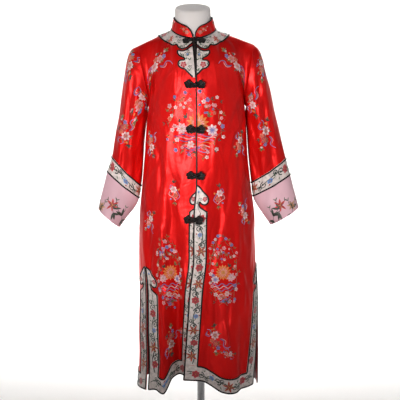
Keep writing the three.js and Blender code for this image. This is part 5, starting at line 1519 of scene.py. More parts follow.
class Needlework:
    """Satin-stitched shapes for one cloth, gathered and then laid on it together as one mesh."""

    def __init__(self, cloth, base, height, seed, steps=(1.0, 1.0)):
        self.cloth, self.base, self.height, self.steps = cloth, base, height, steps
        self.random = random.Random(seed)
        self.parts, self.faces, self.count = [], [], 0
        self.frame = None

    def centre_on(self, row, column, turn=0.0, size=1.0, mirror=1):
        """Starts a motif: its own u and v in mm are turned, scaled and laid round a place of the cloth."""
        c, s = math.cos(math.radians(turn)), math.sin(math.radians(turn))
        spin = np.array([[c, -s], [s, c]]) @ np.diag([mirror, 1]) * size
        m = self.cloth.patch(row, column, *self.steps) @ spin
        self.frame = lambda u, v: (row + m[0, 0] * u + m[0, 1] * v, column + m[1, 0] * u + m[1, 1] * v)

    def grid(self, u, v, height, share, dye, stitch):
        """Adds a grid of points. `share` runs from 0 to 1 between the two colours of the dye."""
        row, column = self.frame(u, v)
        tone = self.random.uniform(0.86, 1.12)
        first, last = (np.array(srgb(code)) * tone for code in DYES[dye])
        colours = mix(first, last, share[..., None])
        rows, columns = u.shape
        index = np.arange(rows * columns).reshape(u.shape) + self.count
        quads = np.stack([index[:-1, :-1], index[:-1, 1:], index[1:, 1:], index[1:, :-1]], -1)
        self.faces.append(quads.reshape(-1, 4))
        self.parts.append(np.column_stack([
            row.ravel(), column.ravel(), height.ravel(), colours.reshape(-1, 3), stitch.reshape(-1, 2),
        ]))
        self.count += u.size

    def petal(self, start, angle, length, width, dye, bend=0.0, blunt=0.45):
        """A pointed or blunt petal from its root outward; the floss runs along it."""
        s = np.linspace(0, 1, 6)[:, None]
        t = np.linspace(-1, 1, 5)[None, :]
        swell = np.sin(math.pi * np.clip(s, 0.03, 0.985) ** (0.55 + blunt)) ** 0.75
        half = width / 2 * swell
        along, across = s * length + 0 * t, t * half + bend * length * s**2
        c, d = math.cos(math.radians(angle)), math.sin(math.radians(angle))
        height = self.height * (1.15 * np.sqrt(np.maximum(1 - t**2, 0)) * swell**0.4 - 0.15)
        stitch = np.stack([t * half, along], -1) * METRES
        u, v = start[0] + along * c - across * d, start[1] + along * d + across * c
        self.grid(u, v, height, s + 0 * t, dye, stitch)

    def stem(self, points, width, dye, taper=1.0):
        """A line of stem stitch along given points; it narrows to `taper` of its width."""
        path = evenly(rounded(points, 5), 2.6)
        along = unit(np.gradient(path, axis=0))
        across = np.stack([-along[:, 1], along[:, 0]], -1)
        share = np.linspace(0, 1, len(path))[:, None]
        half = width / 2 * mix(1, taper, share)
        t = np.array([-1, 0, 1])[None, :]
        u = path[:, :1] + across[:, :1] * half * t
        v = path[:, 1:] + across[:, 1:] * half * t
        height = self.height * (0.85 * (1 - t**2) - 0.15) + 0 * share
        run = np.arange(len(path))[:, None] * 2.6
        stitch = np.stack([run + t * 2.0, t * half + 0 * run], -1) * METRES
        self.grid(u, v, height, share + 0 * t, dye, stitch)

    def dot(self, place, radius, dye):
        """A small padded dot."""
        angles = np.linspace(0, 2 * math.pi, 8)[None, :]
        reach = np.array([0.02, 0.6, 1])[:, None] * radius
        height = self.height * (1.35 - 1.5 * (reach / radius) ** 2) + 0 * angles
        u, v = place[0] + reach * np.cos(angles), place[1] + reach * np.sin(angles)
        self.grid(u, v, height, reach / radius + 0 * angles, dye, np.stack([u, v], -1) * METRES)

    def flower(self, place, radius, petals, dye, heart="gold", inner=None, turn=None, wide=1.0):
        """An open flower with one or two rings of petals round a heart."""
        turn = self.random.uniform(0, 72) if turn is None else turn
        step = 360 / petals
        for k in range(petals):
            long = radius * self.random.uniform(0.92, 1.05)
            self.petal(place, turn + k * step, long, radius * 4.4 / petals * wide, dye, blunt=0.8)
        if inner:
            for k in range(petals):
                angle, width = turn + (k + 0.5) * step, radius * 3 / petals * wide
                self.petal(place, angle, radius * 0.62, width, inner, blunt=0.8)
        self.dot(place, radius * 0.2, heart)

    def lily(self, place, radius, dye="lily", turn=None):
        """A six-pointed star lily with thin stamens."""
        turn = self.random.uniform(0, 60) if turn is None else turn
        for k in range(6):
            long = radius * self.random.uniform(0.85, 1.05)
            self.petal(place, turn + k * 60, long, radius * 0.36, dye, self.random.uniform(-0.12, 0.12), 0.3)
        for k in range(3):
            self.petal(place, turn + 30 + k * 120, radius * 0.55, radius * 0.1, "gold")
        self.dot(place, radius * 0.14, "gold")

    def bud(self, place, angle, length, dye):
        """A closed bud with its calyx."""
        for lean in (-16, 16, 0):
            self.petal(place, angle + lean, length * (1 if lean == 0 else 0.86), length * 0.42, dye)
        for lean in (-34, 34):
            self.petal(place, angle + lean, length * 0.5, length * 0.2, "leaf")

    def leaves(self, place, angle, length, count=3, dye="leaf", spread=40):
        """A fan of leaves from one place."""
        for k in range(count):
            lean = (k - (count - 1) / 2) * spread
            long = length * (1 - 0.12 * abs(lean) / spread) * self.random.uniform(0.9, 1.1)
            self.petal(place, angle + lean, long, length * 0.3, dye, 0.1 * (1 if k % 2 else -1), 0.35)

    def curl(self, start, angle, radius, side=1, dye="vine", width=2.2):
        """A tendril that leaves at an angle and winds up on one side, ending in a dot."""
        t = np.linspace(0, 1, 9)
        sweep = np.radians(angle) + side * (t * math.radians(400) - math.pi / 2)
        reach = radius * (1 - 0.74 * t)
        base = np.array(start, float) + radius * np.array([
            math.cos(math.radians(angle + side * 90)), math.sin(math.radians(angle + side * 90)),
        ])
        points = base + np.stack([reach * np.cos(sweep), reach * np.sin(sweep)], -1)
        self.stem(points, width, dye, 0.6)
        self.dot(points[-1], width * 0.8, dye)

    def cut_at(self, first, limit):
        """Ends every shape from the given one on at a column, such as a panel's edge."""
        for k in range(first, len(self.parts)):
            part = self.parts[k]
            outside = part[:, 1] <= limit
            base = self.faces[k].min() if len(self.faces[k]) else 0
            part[outside, 1] = limit
            self.faces[k] = self.faces[k][~outside[self.faces[k] - base].all(axis=1)]

    def build(self, name):
        """Lays everything on the cloth and makes the object."""
        data = np.concatenate(self.parts)
        faces = np.concatenate(self.faces)
        points, normals = self.cloth.at(data[:, 0], data[:, 1])
        points = points + normals * (self.base + data[:, 2])[:, None]
        a, b, c = (points[faces[:, k]] for k in (0, 1, 2))
        back = (np.cross(b - a, c - a) * normals[faces[:, 0]]).sum(-1) < 0
        faces[back] = faces[back][:, ::-1]
        piece = make_object(name, points, faces.tolist(), [MATERIALS["floss"]])
        mesh = piece.data
        dye = mesh.attributes.new("dye", "FLOAT_COLOR", "POINT")
        dye.data.foreach_set("color", np.column_stack([data[:, 3:6], np.ones(len(data))]).ravel())
        stitch = mesh.uv_layers.new(name="stitch")
        corner = np.empty(len(mesh.loops), np.int32)
        mesh.loops.foreach_get("vertex_index", corner)
        stitch.data.foreach_set("uv", data[corner, 6:8].ravel())


def sew_vine(work, length, width, order, phase=0.0, pitch=108.0):
    """A flowering vine along a ribbon: u runs across the ribbon and v along it."""
    middle, sway = width / 2, width * 0.13
    step = pitch / 2
    v = np.linspace(4, length - 4, max(4, int(length / 9)))
    work.stem(np.column_stack([middle + sway * np.sin(2 * math.pi * v / pitch + phase), v]), 3.6, "vine")
    for k in range(int(length / step) + 1):
        at = 14 + (k + 0.35) * step
        if at > length - 14:
            break
        sign = 1 if math.sin(2 * math.pi * at / pitch + phase) > 0 else -1
        place = (middle - sign * width * 0.05, at)
        kind = order[k % len(order)]
        if kind == "rose":
            work.flower(place, 13.5, 6, "rose", "orange", wide=1.15)
            work.leaves((place[0], at - 13), 270 + 40 * sign, 11, 2, "leaf")
        elif kind == "lily":
            work.lily(place, 21)
            work.leaves((place[0] - sign * 4, at - 7), 250, 8, 1, "leaf")
        else:
            work.flower(place, 8.5, 5, "bud", "gold")
            work.dot((place[0] - sign * 11, at + 3), 2.8, "rose")
            work.petal((place[0], at - 6), 250, 9, 3.4, "leaf")
        if at + step * 0.9 > length:
            break
        across = middle + sign * width * 0.13
        work.curl((across, at + step * 0.34), 90, 11.5, sign, width=4.6)
        work.curl((middle - sign * 4, at + step * 0.66), 250, 8.2, -sign, width=4.0)
        work.petal((across + sign * 2, at + step * 0.5), 90 - 60 * sign, 9, 3.8, "leaf")
        work.petal((middle, at + step * 0.72), 90 + 70 * sign, 9, 3.6, "leaf")


def sew_spray(work, row, column, turn, size=1.0, mirror=1, accent="pink", second="lilac"):
    """A flowering branch with trailing ribbons, about 90 mm long."""
    work.centre_on(row, column, turn, size, mirror)
    work.stem([(-44, -14), (-26, -12), (-6, -2), (14, 6), (44, 22)], 2.4, "twig", 0.5)
    work.stem([(-8, -3), (0, 12), (10, 26)], 2.0, "twig", 0.6)
    work.stem([(-22, -11), (-30, 2), (-42, 8)], 1.8, "twig", 0.6)
    work.leaves((-42, -14), 200, 17, 4, "leaf_dark", 34)
    work.leaves((40, 20), 30, 16, 4, "olive", 36)
    work.leaves((10, 26), 84, 13, 3, "leaf_dark", 40)
    work.leaves((16, 4), 300, 14, 3, "olive", 44)
    work.leaves((-30, 2), 120, 12, 2, "olive", 50)
    work.leaves((-12, -14), 260, 13, 2, "leaf_dark", 60)
    work.stem([(-44, 14), (-34, 26), (-22, 18), (-28, 6), (-42, 4), (-50, 12)], 4.2, second, 0.6)
    work.stem([(-40, 18), (-32, 22), (-27, 16)], 2.8, "white", 0.6)
    work.stem([(6, -12), (20, -20), (32, -12), (44, -18), (52, -30)], 4.4, second, 0.5)
    work.stem([(8, -17), (22, -25), (34, -18)], 2.8, "white", 0.5)
    work.flower((-14, -2), 16, 7, "white", "gold", accent)
    work.flower((14, 9), 14, 6, accent, "gold", "coral")
    work.flower((-2, 16), 9, 5, "coral", "gold")
    work.flower((30, 8), 8, 5, second, "white")
    work.bud((34, 17), 50, 13, "white")
    work.bud((-30, -12), 150, 12, "orange")
    work.bud((8, 26), 100, 11, accent)
    work.dot((-38, -2), 3.2, "orange")
    work.dot((24, 24), 2.8, "gold")


def sew_slim_spray(work, row, column, turn, size=1.0, mirror=1, accent="white", second="lilac"):
    """A slim upright spray with a looped ribbon, about 70 mm tall."""
    work.centre_on(row, column, turn, size, mirror)
    work.stem([(0, 34), (-3, 16), (3, 0), (-2, -18), (2, -36)], 2.0, "twig", 0.6)
    work.stem([(-16, 10), (-10, 24), (2, 12), (14, -2), (18, -14), (8, -24)], 3.2, second, 0.7)
    work.stem([(-14, 4), (-18, -8), (-6, -16), (6, -28)], 3.0, "white", 0.6)
    work.leaves((0, 30), 90, 14, 3, "leaf_dark", 40)
    work.leaves((2, -32), 270, 13, 3, "olive", 44)
    work.leaves((-8, -4), 190, 11, 2, "leaf_dark", 50)
    work.flower((-2, 9), 12.5, 6, accent, "gold", "pink")
    work.flower((4, -10), 11, 6, "coral", "gold", "rose")
    work.bud((10, 6), 30, 10, "orange")
    work.bud((-8, -20), 220, 9, second)


def sew_medallion(work, row, column, wide=1.0, tall=1.0, mirror=1, seed=1):
    """A round wreath of blossom and twigs about a large open flower, with rippling lines under it."""
    work.centre_on(row, column, 0, 1.0, mirror)
    chance = random.Random(seed)
    size = math.sqrt(wide * tall)

    def at(x, y):
        return (x * wide, y * tall)

    def around(angle, reach):
        return at(reach * math.cos(angle), reach * math.sin(angle))

    for k in range(14):
        a = math.radians(k * 360 / 14 + chance.uniform(-6, 6))
        b = a + math.radians(31)
        reach = chance.uniform(80, 92)
        work.stem([around(a, reach), around((a + b) / 2, reach - 9), around(b, reach + 4)], 2.6,
                  "twig" if k % 2 else "olive", 0.5)
    kinds = ("white", "pink", "lilac", "white", "coral", "blue", "pink")
    for k in range(52):
        angle = math.radians(k * 360 / 52 + chance.uniform(-3, 3))
        place = around(angle, chance.choice((66, 75, 84, 94)) + chance.uniform(-3, 3))
        if k % 3 == 2:
            work.leaves(place, math.degrees(angle) + chance.uniform(-70, 70), 12 * size**0.5, 2,
                        chance.choice(("leaf_dark", "olive")), 50)
        else:
            work.flower(place, chance.uniform(5, 8) * size**0.5, 5, kinds[k % 7], "gold")
    for k in range(16):
        place = at(chance.uniform(-54, 54), chance.uniform(26, 62))
        work.flower(place, chance.uniform(3.5, 5.5) * size**0.5, 5, kinds[(k * 3) % 7], "gold")
    for k in range(9):
        x = -52 + k * 13
        work.stem([at(x, 60 - abs(x) * 0.3), at(x + 4, 46), at(x - 2, 34)], 1.6, "twig", 0.5)
        work.leaves(at(x, 50 - abs(x) * 0.3), 60 + 70 * (k % 2), 9, 2, "olive", 60)
    work.flower(at(6, 0), 31 * size, 14, "orange", "gold", "rose_heart", 10, 1.1)
    work.flower(at(6, 0), 15 * size, 10, "gold", "white", "orange", 20, 1.1)
    work.flower(at(-42, -14), 18 * size, 8, "pink", "gold", "white")
    work.flower(at(50, -18), 17 * size, 8, "white", "blue", "lilac")
    work.leaves(at(-26, 14), 130, 18 * size, 3, "leaf_dark", 36)
    work.leaves(at(36, 18), 50, 18 * size, 3, "olive", 36)
    work.leaves(at(-46, 6), 160, 13 * size, 3, "leaf_dark", 40)
    for k, dye in enumerate(("blue", "white", "lilac", "orange", "white", "lilac", "blue")):
        level = -32 - k * 7
        reach = 66 - k * 6
        points = [at(x, level + 3.2 * math.sin(x * 0.13 + k * 1.3)) for x in np.linspace(-reach, reach, 12)]
        work.stem(points, 3.6, dye, 0.8)
    work.flower(at(-14, -56), 11 * size, 6, "white", "gold", "pink")
    work.flower(at(24, -64), 9 * size, 6, "coral", "gold", "rose")
    work.leaves(at(-2, -74), 270, 13 * size, 3, "leaf_dark", 44)


# Where the sprays lie in the front view: x, z, turn, size and mirror, for the fronts and then the sleeves
FRONT_SPRAYS = {
    "front_left": [
        (-140, 1368, 34, 1.05, 1), (-160, 1110, 88, 0.8, 1), (-165, 855, 80, 0.7, -1),
        (-95, 462, 70, 0.95, 1),
        (-60, 486, 20, 0.5, -1),
    ],
    "front_right": [
        (106, 1368, -34, 1.05, -1), (128, 1110, 92, 0.8, -1), (142, 883, 100, 0.8, 1),
        (49, 470, 118, 0.95, -1),
        (92, 424, 150, 0.55, 1),
    ],
}
FRONT_SLIM_SPRAYS = {"front_left": [(-87, 955, 0, 1.0, 1)], "front_right": [(58, 945, 0, 1.0, -1)]}
SLEEVE_SPRAYS = {
    "left": [(-228, 1372, 80, 0.85, 1), (-193, 1247, 96, 0.9, -1), (-246, 1142, 80, 1.0, 1)],
    "right": [(198, 1358, 100, 0.85, -1), (167, 1244, 84, 0.9, 1), (213, 1132, 100, 1.0, -1)],
}
BACK_SPRAYS = [
    (-120, 1360, 40, 1.0, 1), (84, 1362, -40, 1.0, -1), (-140, 1110, 88, 0.8, 1), (104, 1112, 92, 0.8, -1),
    (-150, 860, 80, 0.8, -1), (124, 868, 100, 0.8, 1), (-20, 900, 90, 0.9, 1), (-118, 440, 70, 0.95, 1),
    (92, 446, 110, 0.95, -1), (-14, 470, 90, 0.9, -1),
]
MEDALLIONS = {
    "front_left": [(-102, 691, 0.56, 1.28, 1, 5)],
    "front_right": [(75, 693, 0.58, 1.26, -1, 6)],
    "back": [(-18, 1160, 1.06, 1.2, 1, 7), (-110, 680, 0.62, 1.22, 1, 8), (82, 684, 0.62, 1.22, -1, 9)],
}
CHEST_MEDALLION = (-16, 1180, 1.04, 1.2, 4)
SPRAY_DYES = (("pink", "lilac"), ("coral", "blue"), ("pink", "blue"), ("rose", "lilac"))
HEM_ORDER = ("rose", "bud", "lily")
BAND_ORDER = ("lily", "rose", "lily", "bud", "rose")


def sew_panels(sizes):
    """Sprays and wreaths on the satin of the body."""
    height = in_mm(sizes.floss)
    for name, cloth in PANELS.items():
        work = Needlework(cloth, 0.0, height, 11)
        sprays = BACK_SPRAYS if name == "back" else FRONT_SPRAYS[name]
        for k, (x, z, turn, size, mirror) in enumerate(sprays):
            row, column = find_on_panel(name, [x], [z])[0]
            sew_spray(work, row, column, turn, size, mirror, *SPRAY_DYES[k % 4])
        for x, z, turn, size, mirror in FRONT_SLIM_SPRAYS.get(name, ()):
            row, column = find_on_panel(name, [x], [z])[0]
            sew_slim_spray(work, row, column, turn, size, mirror)
        for x, z, wide, tall, mirror, seed in MEDALLIONS[name]:
            row, column = find_on_panel(name, [x], [z])[0]
            sew_medallion(work, row, column, wide, tall, mirror, seed)
        if name != "back":
            x, z, wide, tall, seed = CHEST_MEDALLION
            hidden = 0 if name == "front_right" else float(track(OPENING, "z", z)["overlap"])
            first = len(work.parts)
            sew_medallion(work, z, hidden + 1, wide, tall, 1, seed)
            work.cut_at(first, hidden + 6)
        work.build(f"embroidery_{name}")


# Small motifs of the neck pieces: kind, distance from the opening, height, turn and size
YOKE_MOTIFS = [
    ("curl", 32, 1428, 200, 9), ("curl", 48, 1436, 20, 8), ("lily", 72, 1446, 0, 16),
    ("rose", 96, 1457, 0, 11),
    ("leaf", 110, 1461, 60, 13), ("leaf", 58, 1450, 130, 12), ("bud", 44, 1448, 100, 12),
    ("curl", 86, 1442, 160, 7),
    ("leaf", 20, 1428, 30, 11), ("curl", 112, 1472, 70, 6), ("leaf", 62, 1436, 240, 11),
    ("leaf", 84, 1462, 90, 11),
    ("curl", 26, 1438, 60, 5), ("leaf", 40, 1424, 300, 9),
]
TAB_MOTIFS = [
    ("curl", 28, 1402, 120, 9), ("curl", 40, 1400, 300, 5), ("bud", 16, 1394, 60, 11),
    ("leaf", 12, 1380, 80, 12),
    ("rose", 31, 1367, 0, 10.5), ("curl", 16, 1360, 100, 7), ("leaf", 14, 1346, 90, 11),
    ("leaf", 42, 1368, 30, 9),
    ("leaf", 20, 1384, 40, 9), ("curl", 13, 1410, 80, 5),
]
BACK_YOKE_MOTIFS = [
    ("rose", 0, 1418, 0, 12), ("curl", 20, 1410, 20, 9), ("lily", 38, 1424, 0, 15), ("curl", 58, 1430, 10, 8),
    ("rose", 76, 1430, 0, 11), ("leaf", 88, 1444, 60, 13), ("bud", 24, 1430, 70, 11),
    ("curl", 98, 1446, 50, 7),
    ("leaf", 52, 1444, 100, 11), ("leaf", 12, 1446, 90, 11), ("leaf", 68, 1450, 80, 11),
    ("curl", 34, 1446, 80, 5),
]


# Flowers round the collar: column, height and size
COLLAR_FLOWERS = (
    (13, 20, 8), (19, 25, 5.5), (127, 20, 8), (121, 25, 5.5), (40, 21, 7), (70, 21, 8), (100, 21, 7),
)


def sew_motif(work, kind, size, turn):
    if kind == "rose":
        work.flower((0, 0), size, 5, "rose", "gold", "rose_heart")
        work.leaves((0, -size * 0.8), 270, size * 0.8, 2, "leaf", 70)
    elif kind == "lily":
        work.lily((0, 0), size, "lily_red")
    elif kind == "bud":
        work.bud((0, 0), turn, size, "bud")
    elif kind == "leaf":
        work.leaves((0, 0), turn, size, 2, "leaf", 50)
    else:
        work.curl((0, 0), turn, size, 1 if size > 5.5 else -1, width=2.6)
        work.petal((2, -3), turn + 150, size * 1.3, 3.4, "leaf")


def sew_neck(sizes):
    """Small flowers and tendrils on the neck pieces and the collar."""
    height, base = in_mm(sizes.floss), ribbon_levels(sizes)[1]
    for side, sign in (("left", -1), ("right", 1)):
        work = Needlework(PANELS[f"front_{side}"], base, height, 41)
        for kind, x, z, turn, size in YOKE_MOTIFS + TAB_MOTIFS:
            row, column = find_on_panel(f"front_{side}", [NECK["mid_x"] + sign * x], [z], BUST, TOP_ROW)[0]
            work.centre_on(row, column, 0, 1, sign)
            sew_motif(work, kind, size, turn)
        work.build(f"embroidery_neck_{side}")
    work = Needlework(PANELS["back"], base, height, 42)
    for kind, x, z, turn, size in BACK_YOKE_MOTIFS:
        for sign in (-1, 1) if x else (1,):
            row, column = find_on_panel("back", [NECK["mid_x"] + sign * x], [z], BUST, TOP_ROW)[0]
            work.centre_on(row, column, 0, 1, -sign)
            sew_motif(work, kind, size, turn)
    work.build("embroidery_neck_back")
    work = Needlework(COLLAR_CLOTH, 0.0, height, 43)
    for column, rise, size in COLLAR_FLOWERS:
        work.centre_on(rise, column)
        work.flower((0, 0), size, 5, "coral", "gold", "pink")
        work.leaves((size * 0.8, 2), 20, 8, 2, "olive", 40)
        work.leaves((-size * 0.8, 2), 160, 8, 2, "olive", 40)
        work.bud((size + 6, 5), 30, 7, "pink")
    work.build("embroidery_collar")


def sew_bands(sizes):
    """Vines on the ribbons of the panels, with a bloom in the head of each."""
    height, base = in_mm(sizes.floss), ribbon_levels(sizes)[1]
    start = HEM + HEM_BAND + 2
    for panel, heads in HEADS.items():
        cloth = PANELS[panel]
        work = Needlework(cloth, base, height, 51)
        for number, (edge, foot) in enumerate(heads):
            work.frame = lambda u, v: (start + v, from_edge(cloth, edge, start + v, u))
            order = BAND_ORDER[number:] + BAND_ORDER[:number]
            sew_vine(work, foot - start, BAND_WIDTH + 4, order, number * 2.1)
            work.frame = lambda u, v: (foot + v, from_edge(cloth, edge, foot + v, u))
            work.stem([(24, -6), (16, 10), (12, 30), (14, 50), (10, 66)], 2.0, "vine", 0.6)
            work.curl((14, 44), 60, 6, -1, width=1.8)
            work.flower((33, 43), 8.5, 5, "rose", "gold", "rose_heart")
            work.leaves((12, 28), 130, 9, 2, "leaf", 50)
            work.bud((11, 62), 90, 10, "bud")
        total = float(cloth.total_at(HEM + HEM_BAND / 2))
        work.frame = lambda u, v: (HEM + 1 + u, v + 6)
        sew_vine(work, total - 12, HEM_BAND - 2, HEM_ORDER, 1.0)
        work.build(f"embroidery_bands_{panel}")


def find_on_sleeve(side, x, z, face):
    low, high = (4, 176) if face == "front" else (184, 356)
    return find_places(
        SLEEVE_CLOTHS[side], x, z, 0, LAST_RING, lambda row: (np.full_like(row, low), np.full_like(row, high))
    )


CUFF_SPOTS = {"left": ((-293, 899), (-331, 893), (-262, 872)), "right": ((262, 898), (302, 898), (240, 872))}


def sew_sleeves(sizes):
    """Sprays down the sleeves, a vine round each band and flowers on the cuffs."""
    height = in_mm(sizes.floss)
    for side, cloth in SLEEVE_CLOTHS.items():
        work = Needlework(cloth, 0.0, height, 61, (0.1, 1.5))
        for face in ("front", "back"):
            for k, (x, z, turn, size, mirror) in enumerate(SLEEVE_SPRAYS[side]):
                row, column = find_on_sleeve(side, [x], [z], face)[0]
                sew_spray(work, row, column, turn, size, mirror, *SPRAY_DYES[(k + 1) % 4])
            for k, (x, z) in enumerate(CUFF_SPOTS[side]):
                row, column = find_on_sleeve(side, [x], [z], face)[0]
                work.centre_on(row, column, 0, 1, 1 if side == "right" else -1)
                if k < 2:
                    work.lily((0, 0), 23 if k == 0 else 19, "lily_red" if k == 0 else "tan")
                work.stem([(-5, -34), (-1, -16), (0, 0)], 2.4, "leaf_dark", 0.6)
                work.leaves((-3, -26), 250, 27, 3, "leaf_dark", 38)
                work.leaves((-1, -12), 70 if k else 150, 30, 2, "leaf_dark", 50)
                for across in (15, -13):
                    work.stem([(0, -4), (across * 0.8, 6), (across, 22)], 3.4, "vine", 0.25)
                    work.leaves((across, 16), 90 - across * 2, 12, 2, "leaf", 56)
        middle = cloth.at(np.full(120, SLEEVE_BAND_RING + 0.5), np.arange(120) * 3.0)[0]
        around = float(np.linalg.norm(middle - np.roll(middle, 1, axis=0), axis=1).sum())
        upper, lower = cloth.at([SLEEVE_BAND_RING, CUFF_RING], [90.0, 90.0])[0]
        wide = float(np.linalg.norm(upper - lower))
        work.frame = lambda u, v: (SLEEVE_BAND_RING + 0.04 + u / wide, v * 360 / around)
        sew_vine(work, around - 6, wide * 0.92, HEM_ORDER, 0.6)
        work.build(f"embroidery_sleeve_{side}")


CAMERA_DISTANCE = 4.5
CAMERA_ELEVATION = 9.0
CAMERA_TARGET = (-0.0033, 0.0, 0.910)
CAMERA_LENS = 121.5
ROOM_RADIUS = 7.0
ROOM_BEND = 1.6
ROOM_HEIGHT = 6.5
WORLD_LIGHT = 0.055
# Area lights: name, place, target, size, watts, colour and spread in degrees
LIGHTS = (
    ("key_softbox", (-0.75, -2.8, 1.18), (-0.03, 0, 1.1), (0.5, 0.5), 3.3, (1, 0.98, 0.95), 32),
    ("fill_softbox", (1.5, -2.2, 2.2), (0, 0, 1.15), (0.9, 1.0), 1.2, (0.96, 0.98, 1), 70),
    ("top_softbox", (0, 0.5, 3.2), (0, 0, 1.2), (1.6, 1.2), 7, (1, 1, 1), 180),
    ("low_fill", (0.4, -3.6, 1.4), (0, 0, 0.6), (2.4, 1.6), 0.15, (1, 1, 1), 180),
    ("left_strip", (-2.2, -0.5, 1.7), (0, 0, 1.1), (0.35, 1.8), 2.5, (1, 0.99, 0.97), 180),
    ("right_strip", (2.2, -0.4, 1.7), (0, 0, 1.1), (0.35, 1.8), 1.5, (0.98, 0.99, 1), 180),
    ("back_wash", (0, 3.4, 4.2), (0, 7, 1.6), (5.0, 1.4), 215, (1, 1, 1), 180),
    ("floor_wash", (0, 3.0, 4.6), (0, 3.4, 0), (3.6, 1.6), 130, (1, 1, 1), 70),
    ("back_fill", (0.8, 2.6, 2.6), (0, 0, 1.1), (1.0, 1.0), 18, (1, 1, 1), 180),
)


def make_light(name, place, target, size, power, colour, spread):
    light = bpy.data.lights.new(name, "AREA")
    light.shape = "RECTANGLE"
    light.size, light.size_y = size
    light.energy = power
    light.color = colour
    light.spread = math.radians(spread)
    piece = bpy.data.objects.new(name, light)
    piece.location = place
    piece.rotation_euler = (Vector(target) - Vector(place)).to_track_quat("-Z", "Y").to_euler()
    bpy.context.scene.collection.objects.link(piece)
    return piece


def board_material():
    """Board painted pale and matt: nearly white and faintly uneven, with no shine."""
    material, tree, shader = start_material(
        "painted_board_pale_matt", Roughness=0.8, Emission_Color=(1, 1, 1, 1), Emission_Strength=0.05
    )
    faint = noise_at(tree, place_of(tree), 400, 2.0)
    pale = blend_colours(tree, faint.outputs[0], srgb("F1F0EE"), srgb("F6F5F3"))
    tree.links.new(pale, shader.inputs["Base Color"])
    return material


def make_stage():
    """A pale floor and backdrop, soft studio lights and the camera."""
    scene = bpy.context.scene
    scene.view_settings.view_transform = "Standard"
    floor_material = board_material()
    mesh = bpy.data.meshes.new("studio_floor")
    bend = ROOM_RADIUS - ROOM_BEND
    profile = [(0.01, 0.0), (1.5, 0.0), (bend, 0.0)]
    profile += [(bend + ROOM_BEND * math.sin(a), ROOM_BEND - ROOM_BEND * math.cos(a))
                for a in np.linspace(0.1, math.pi / 2, 12)]
    profile += [(ROOM_RADIUS, ROOM_HEIGHT)]
    vertices, faces = turned(profile, 64)
    mesh.from_pydata(vertices.tolist(), [], faces[:-1])
    mesh.flip_normals()
    mesh.materials.append(floor_material)
    for polygon in mesh.polygons:
        polygon.use_smooth = True
    floor = bpy.data.objects.new("studio_floor", mesh)
    scene.collection.objects.link(floor)
    for light in [make_light(*row) for row in LIGHTS]:
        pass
    world = bpy.data.worlds.new("soft_room")
    world.use_nodes = True
    world.node_tree.nodes["Background"].inputs[0].default_value = (1, 1, 1, 1)
    world.node_tree.nodes["Background"].inputs[1].default_value = WORLD_LIGHT
    scene.world = world
    camera = bpy.data.cameras.new("front_camera")
    camera.lens = CAMERA_LENS
    camera.sensor_width = 36
    view = bpy.data.objects.new("front_camera", camera)
    target = Vector(CAMERA_TARGET)
    rise = math.radians(CAMERA_ELEVATION)
    view.location = target + Vector((0, -math.cos(rise), math.sin(rise))) * CAMERA_DISTANCE
    view.rotation_euler = (target - view.location).to_track_quat("-Z", "Y").to_euler()
    scene.collection.objects.link(view)
    scene.camera = view


class ROBE_OT_materials(bpy.types.Operator):
    """Make every material of the robe, the form and the stand"""

    bl_idname = "robe.materials"
    bl_label = "Materials"

    def execute(self, context):
        make_materials(context.scene.robe_colours)
        return {"FINISHED"}


class ROBE_OT_panels(bpy.types.Operator):
    """Build the satin body panels with their lining"""

    bl_idname = "robe.panels"
    bl_label = "Body panels"

    def execute(self, context):
        make_panels(context.scene.robe_sizes)
        return {"FINISHED"}


class ROBE_OT_sleeves(bpy.types.Operator):
    """Build the sleeves with their bands, cuffs and bindings"""

    bl_idname = "robe.sleeves"
    bl_label = "Sleeves"

    def execute(self, context):
        make_sleeves(context.scene.robe_sizes)
        return {"FINISHED"}


class ROBE_OT_ribbons(bpy.types.Operator):
    """Lay the ribbon borders and their bindings on the panels"""

    bl_idname = "robe.ribbons"
    bl_label = "Ribbons"

    def execute(self, context):
        make_bands(context.scene.robe_sizes)
        make_bindings(context.scene.robe_sizes)
        return {"FINISHED"}


class ROBE_OT_neck(bpy.types.Operator):
    """Build the collar and the cloud-shaped appliques round the neck"""

    bl_idname = "robe.neck"
    bl_label = "Collar and neck"

    def execute(self, context):
        make_neck_pieces(context.scene.robe_sizes)
        make_collar(context.scene.robe_sizes)
        return {"FINISHED"}


class ROBE_OT_embroidery(bpy.types.Operator):
    """Embroider the panels, ribbons, neck pieces, sleeves and cuffs"""

    bl_idname = "robe.embroidery"
    bl_label = "Embroidery"

    def execute(self, context):
        sew_panels(context.scene.robe_sizes)
        sew_bands(context.scene.robe_sizes)
        sew_neck(context.scene.robe_sizes)
        sew_sleeves(context.scene.robe_sizes)
        return {"FINISHED"}


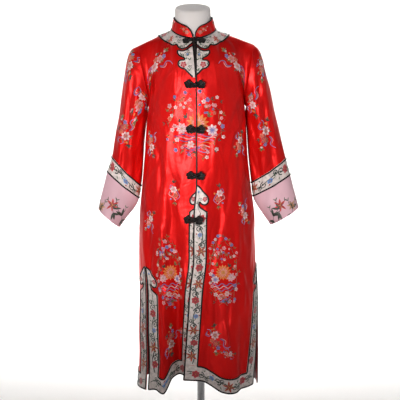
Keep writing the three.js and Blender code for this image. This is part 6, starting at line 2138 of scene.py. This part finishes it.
class ROBE_OT_form(bpy.types.Operator):
    """Build the dress form and its stand"""

    bl_idname = "robe.form"
    bl_label = "Form and stand"

    def execute(self, context):
        make_form()
        make_stand(context.scene.robe_stand)
        return {"FINISHED"}


class ROBE_OT_buttons(bpy.types.Operator):
    """Knot the five flower buttons and their loops"""

    bl_idname = "robe.buttons"
    bl_label = "Buttons"

    def execute(self, context):
        make_frogs(context.scene.robe_sizes)
        return {"FINISHED"}


class ROBE_OT_stage(bpy.types.Operator):
    """Set up the floor, the backdrop, the lights and the camera"""

    bl_idname = "robe.stage"
    bl_label = "Stage"

    def execute(self, context):
        make_stage()
        return {"FINISHED"}


STEPS = (
    ROBE_OT_materials, ROBE_OT_panels, ROBE_OT_sleeves, ROBE_OT_ribbons, ROBE_OT_neck,
    ROBE_OT_embroidery, ROBE_OT_form, ROBE_OT_buttons, ROBE_OT_stage,
)


class ROBE_PT_steps(bpy.types.Panel):
    """Lists the building steps of the robe and their sizes"""

    bl_label = "Robe"
    bl_idname = "ROBE_PT_steps"
    bl_space_type = "VIEW_3D"
    bl_region_type = "UI"
    bl_category = "Robe"

    def draw(self, context):
        for group in (context.scene.robe_sizes, context.scene.robe_colours, context.scene.robe_stand):
            box = self.layout.box()
            for key in group.__annotations__:
                box.prop(group, key)
        for step in STEPS:
            self.layout.operator(step.bl_idname)


GROUPS = {"robe_sizes": RobeSizes, "robe_colours": RobeColours, "robe_stand": StandSizes}


def register():
    for group in GROUPS.values():
        bpy.utils.register_class(group)
    for step in (*STEPS, ROBE_PT_steps):
        bpy.utils.register_class(step)
    for name, group in GROUPS.items():
        setattr(bpy.types.Scene, name, PointerProperty(type=group))


def unregister():
    for name in GROUPS:
        delattr(bpy.types.Scene, name)
    for step in (ROBE_PT_steps, *reversed(STEPS)):
        bpy.utils.unregister_class(step)
    for group in reversed(GROUPS.values()):
        bpy.utils.unregister_class(group)


def main():
    register()
    for step in STEPS:
        group, name = step.bl_idname.split(".")
        getattr(getattr(bpy.ops, group), name)()


if __name__ == "__main__":
    main()
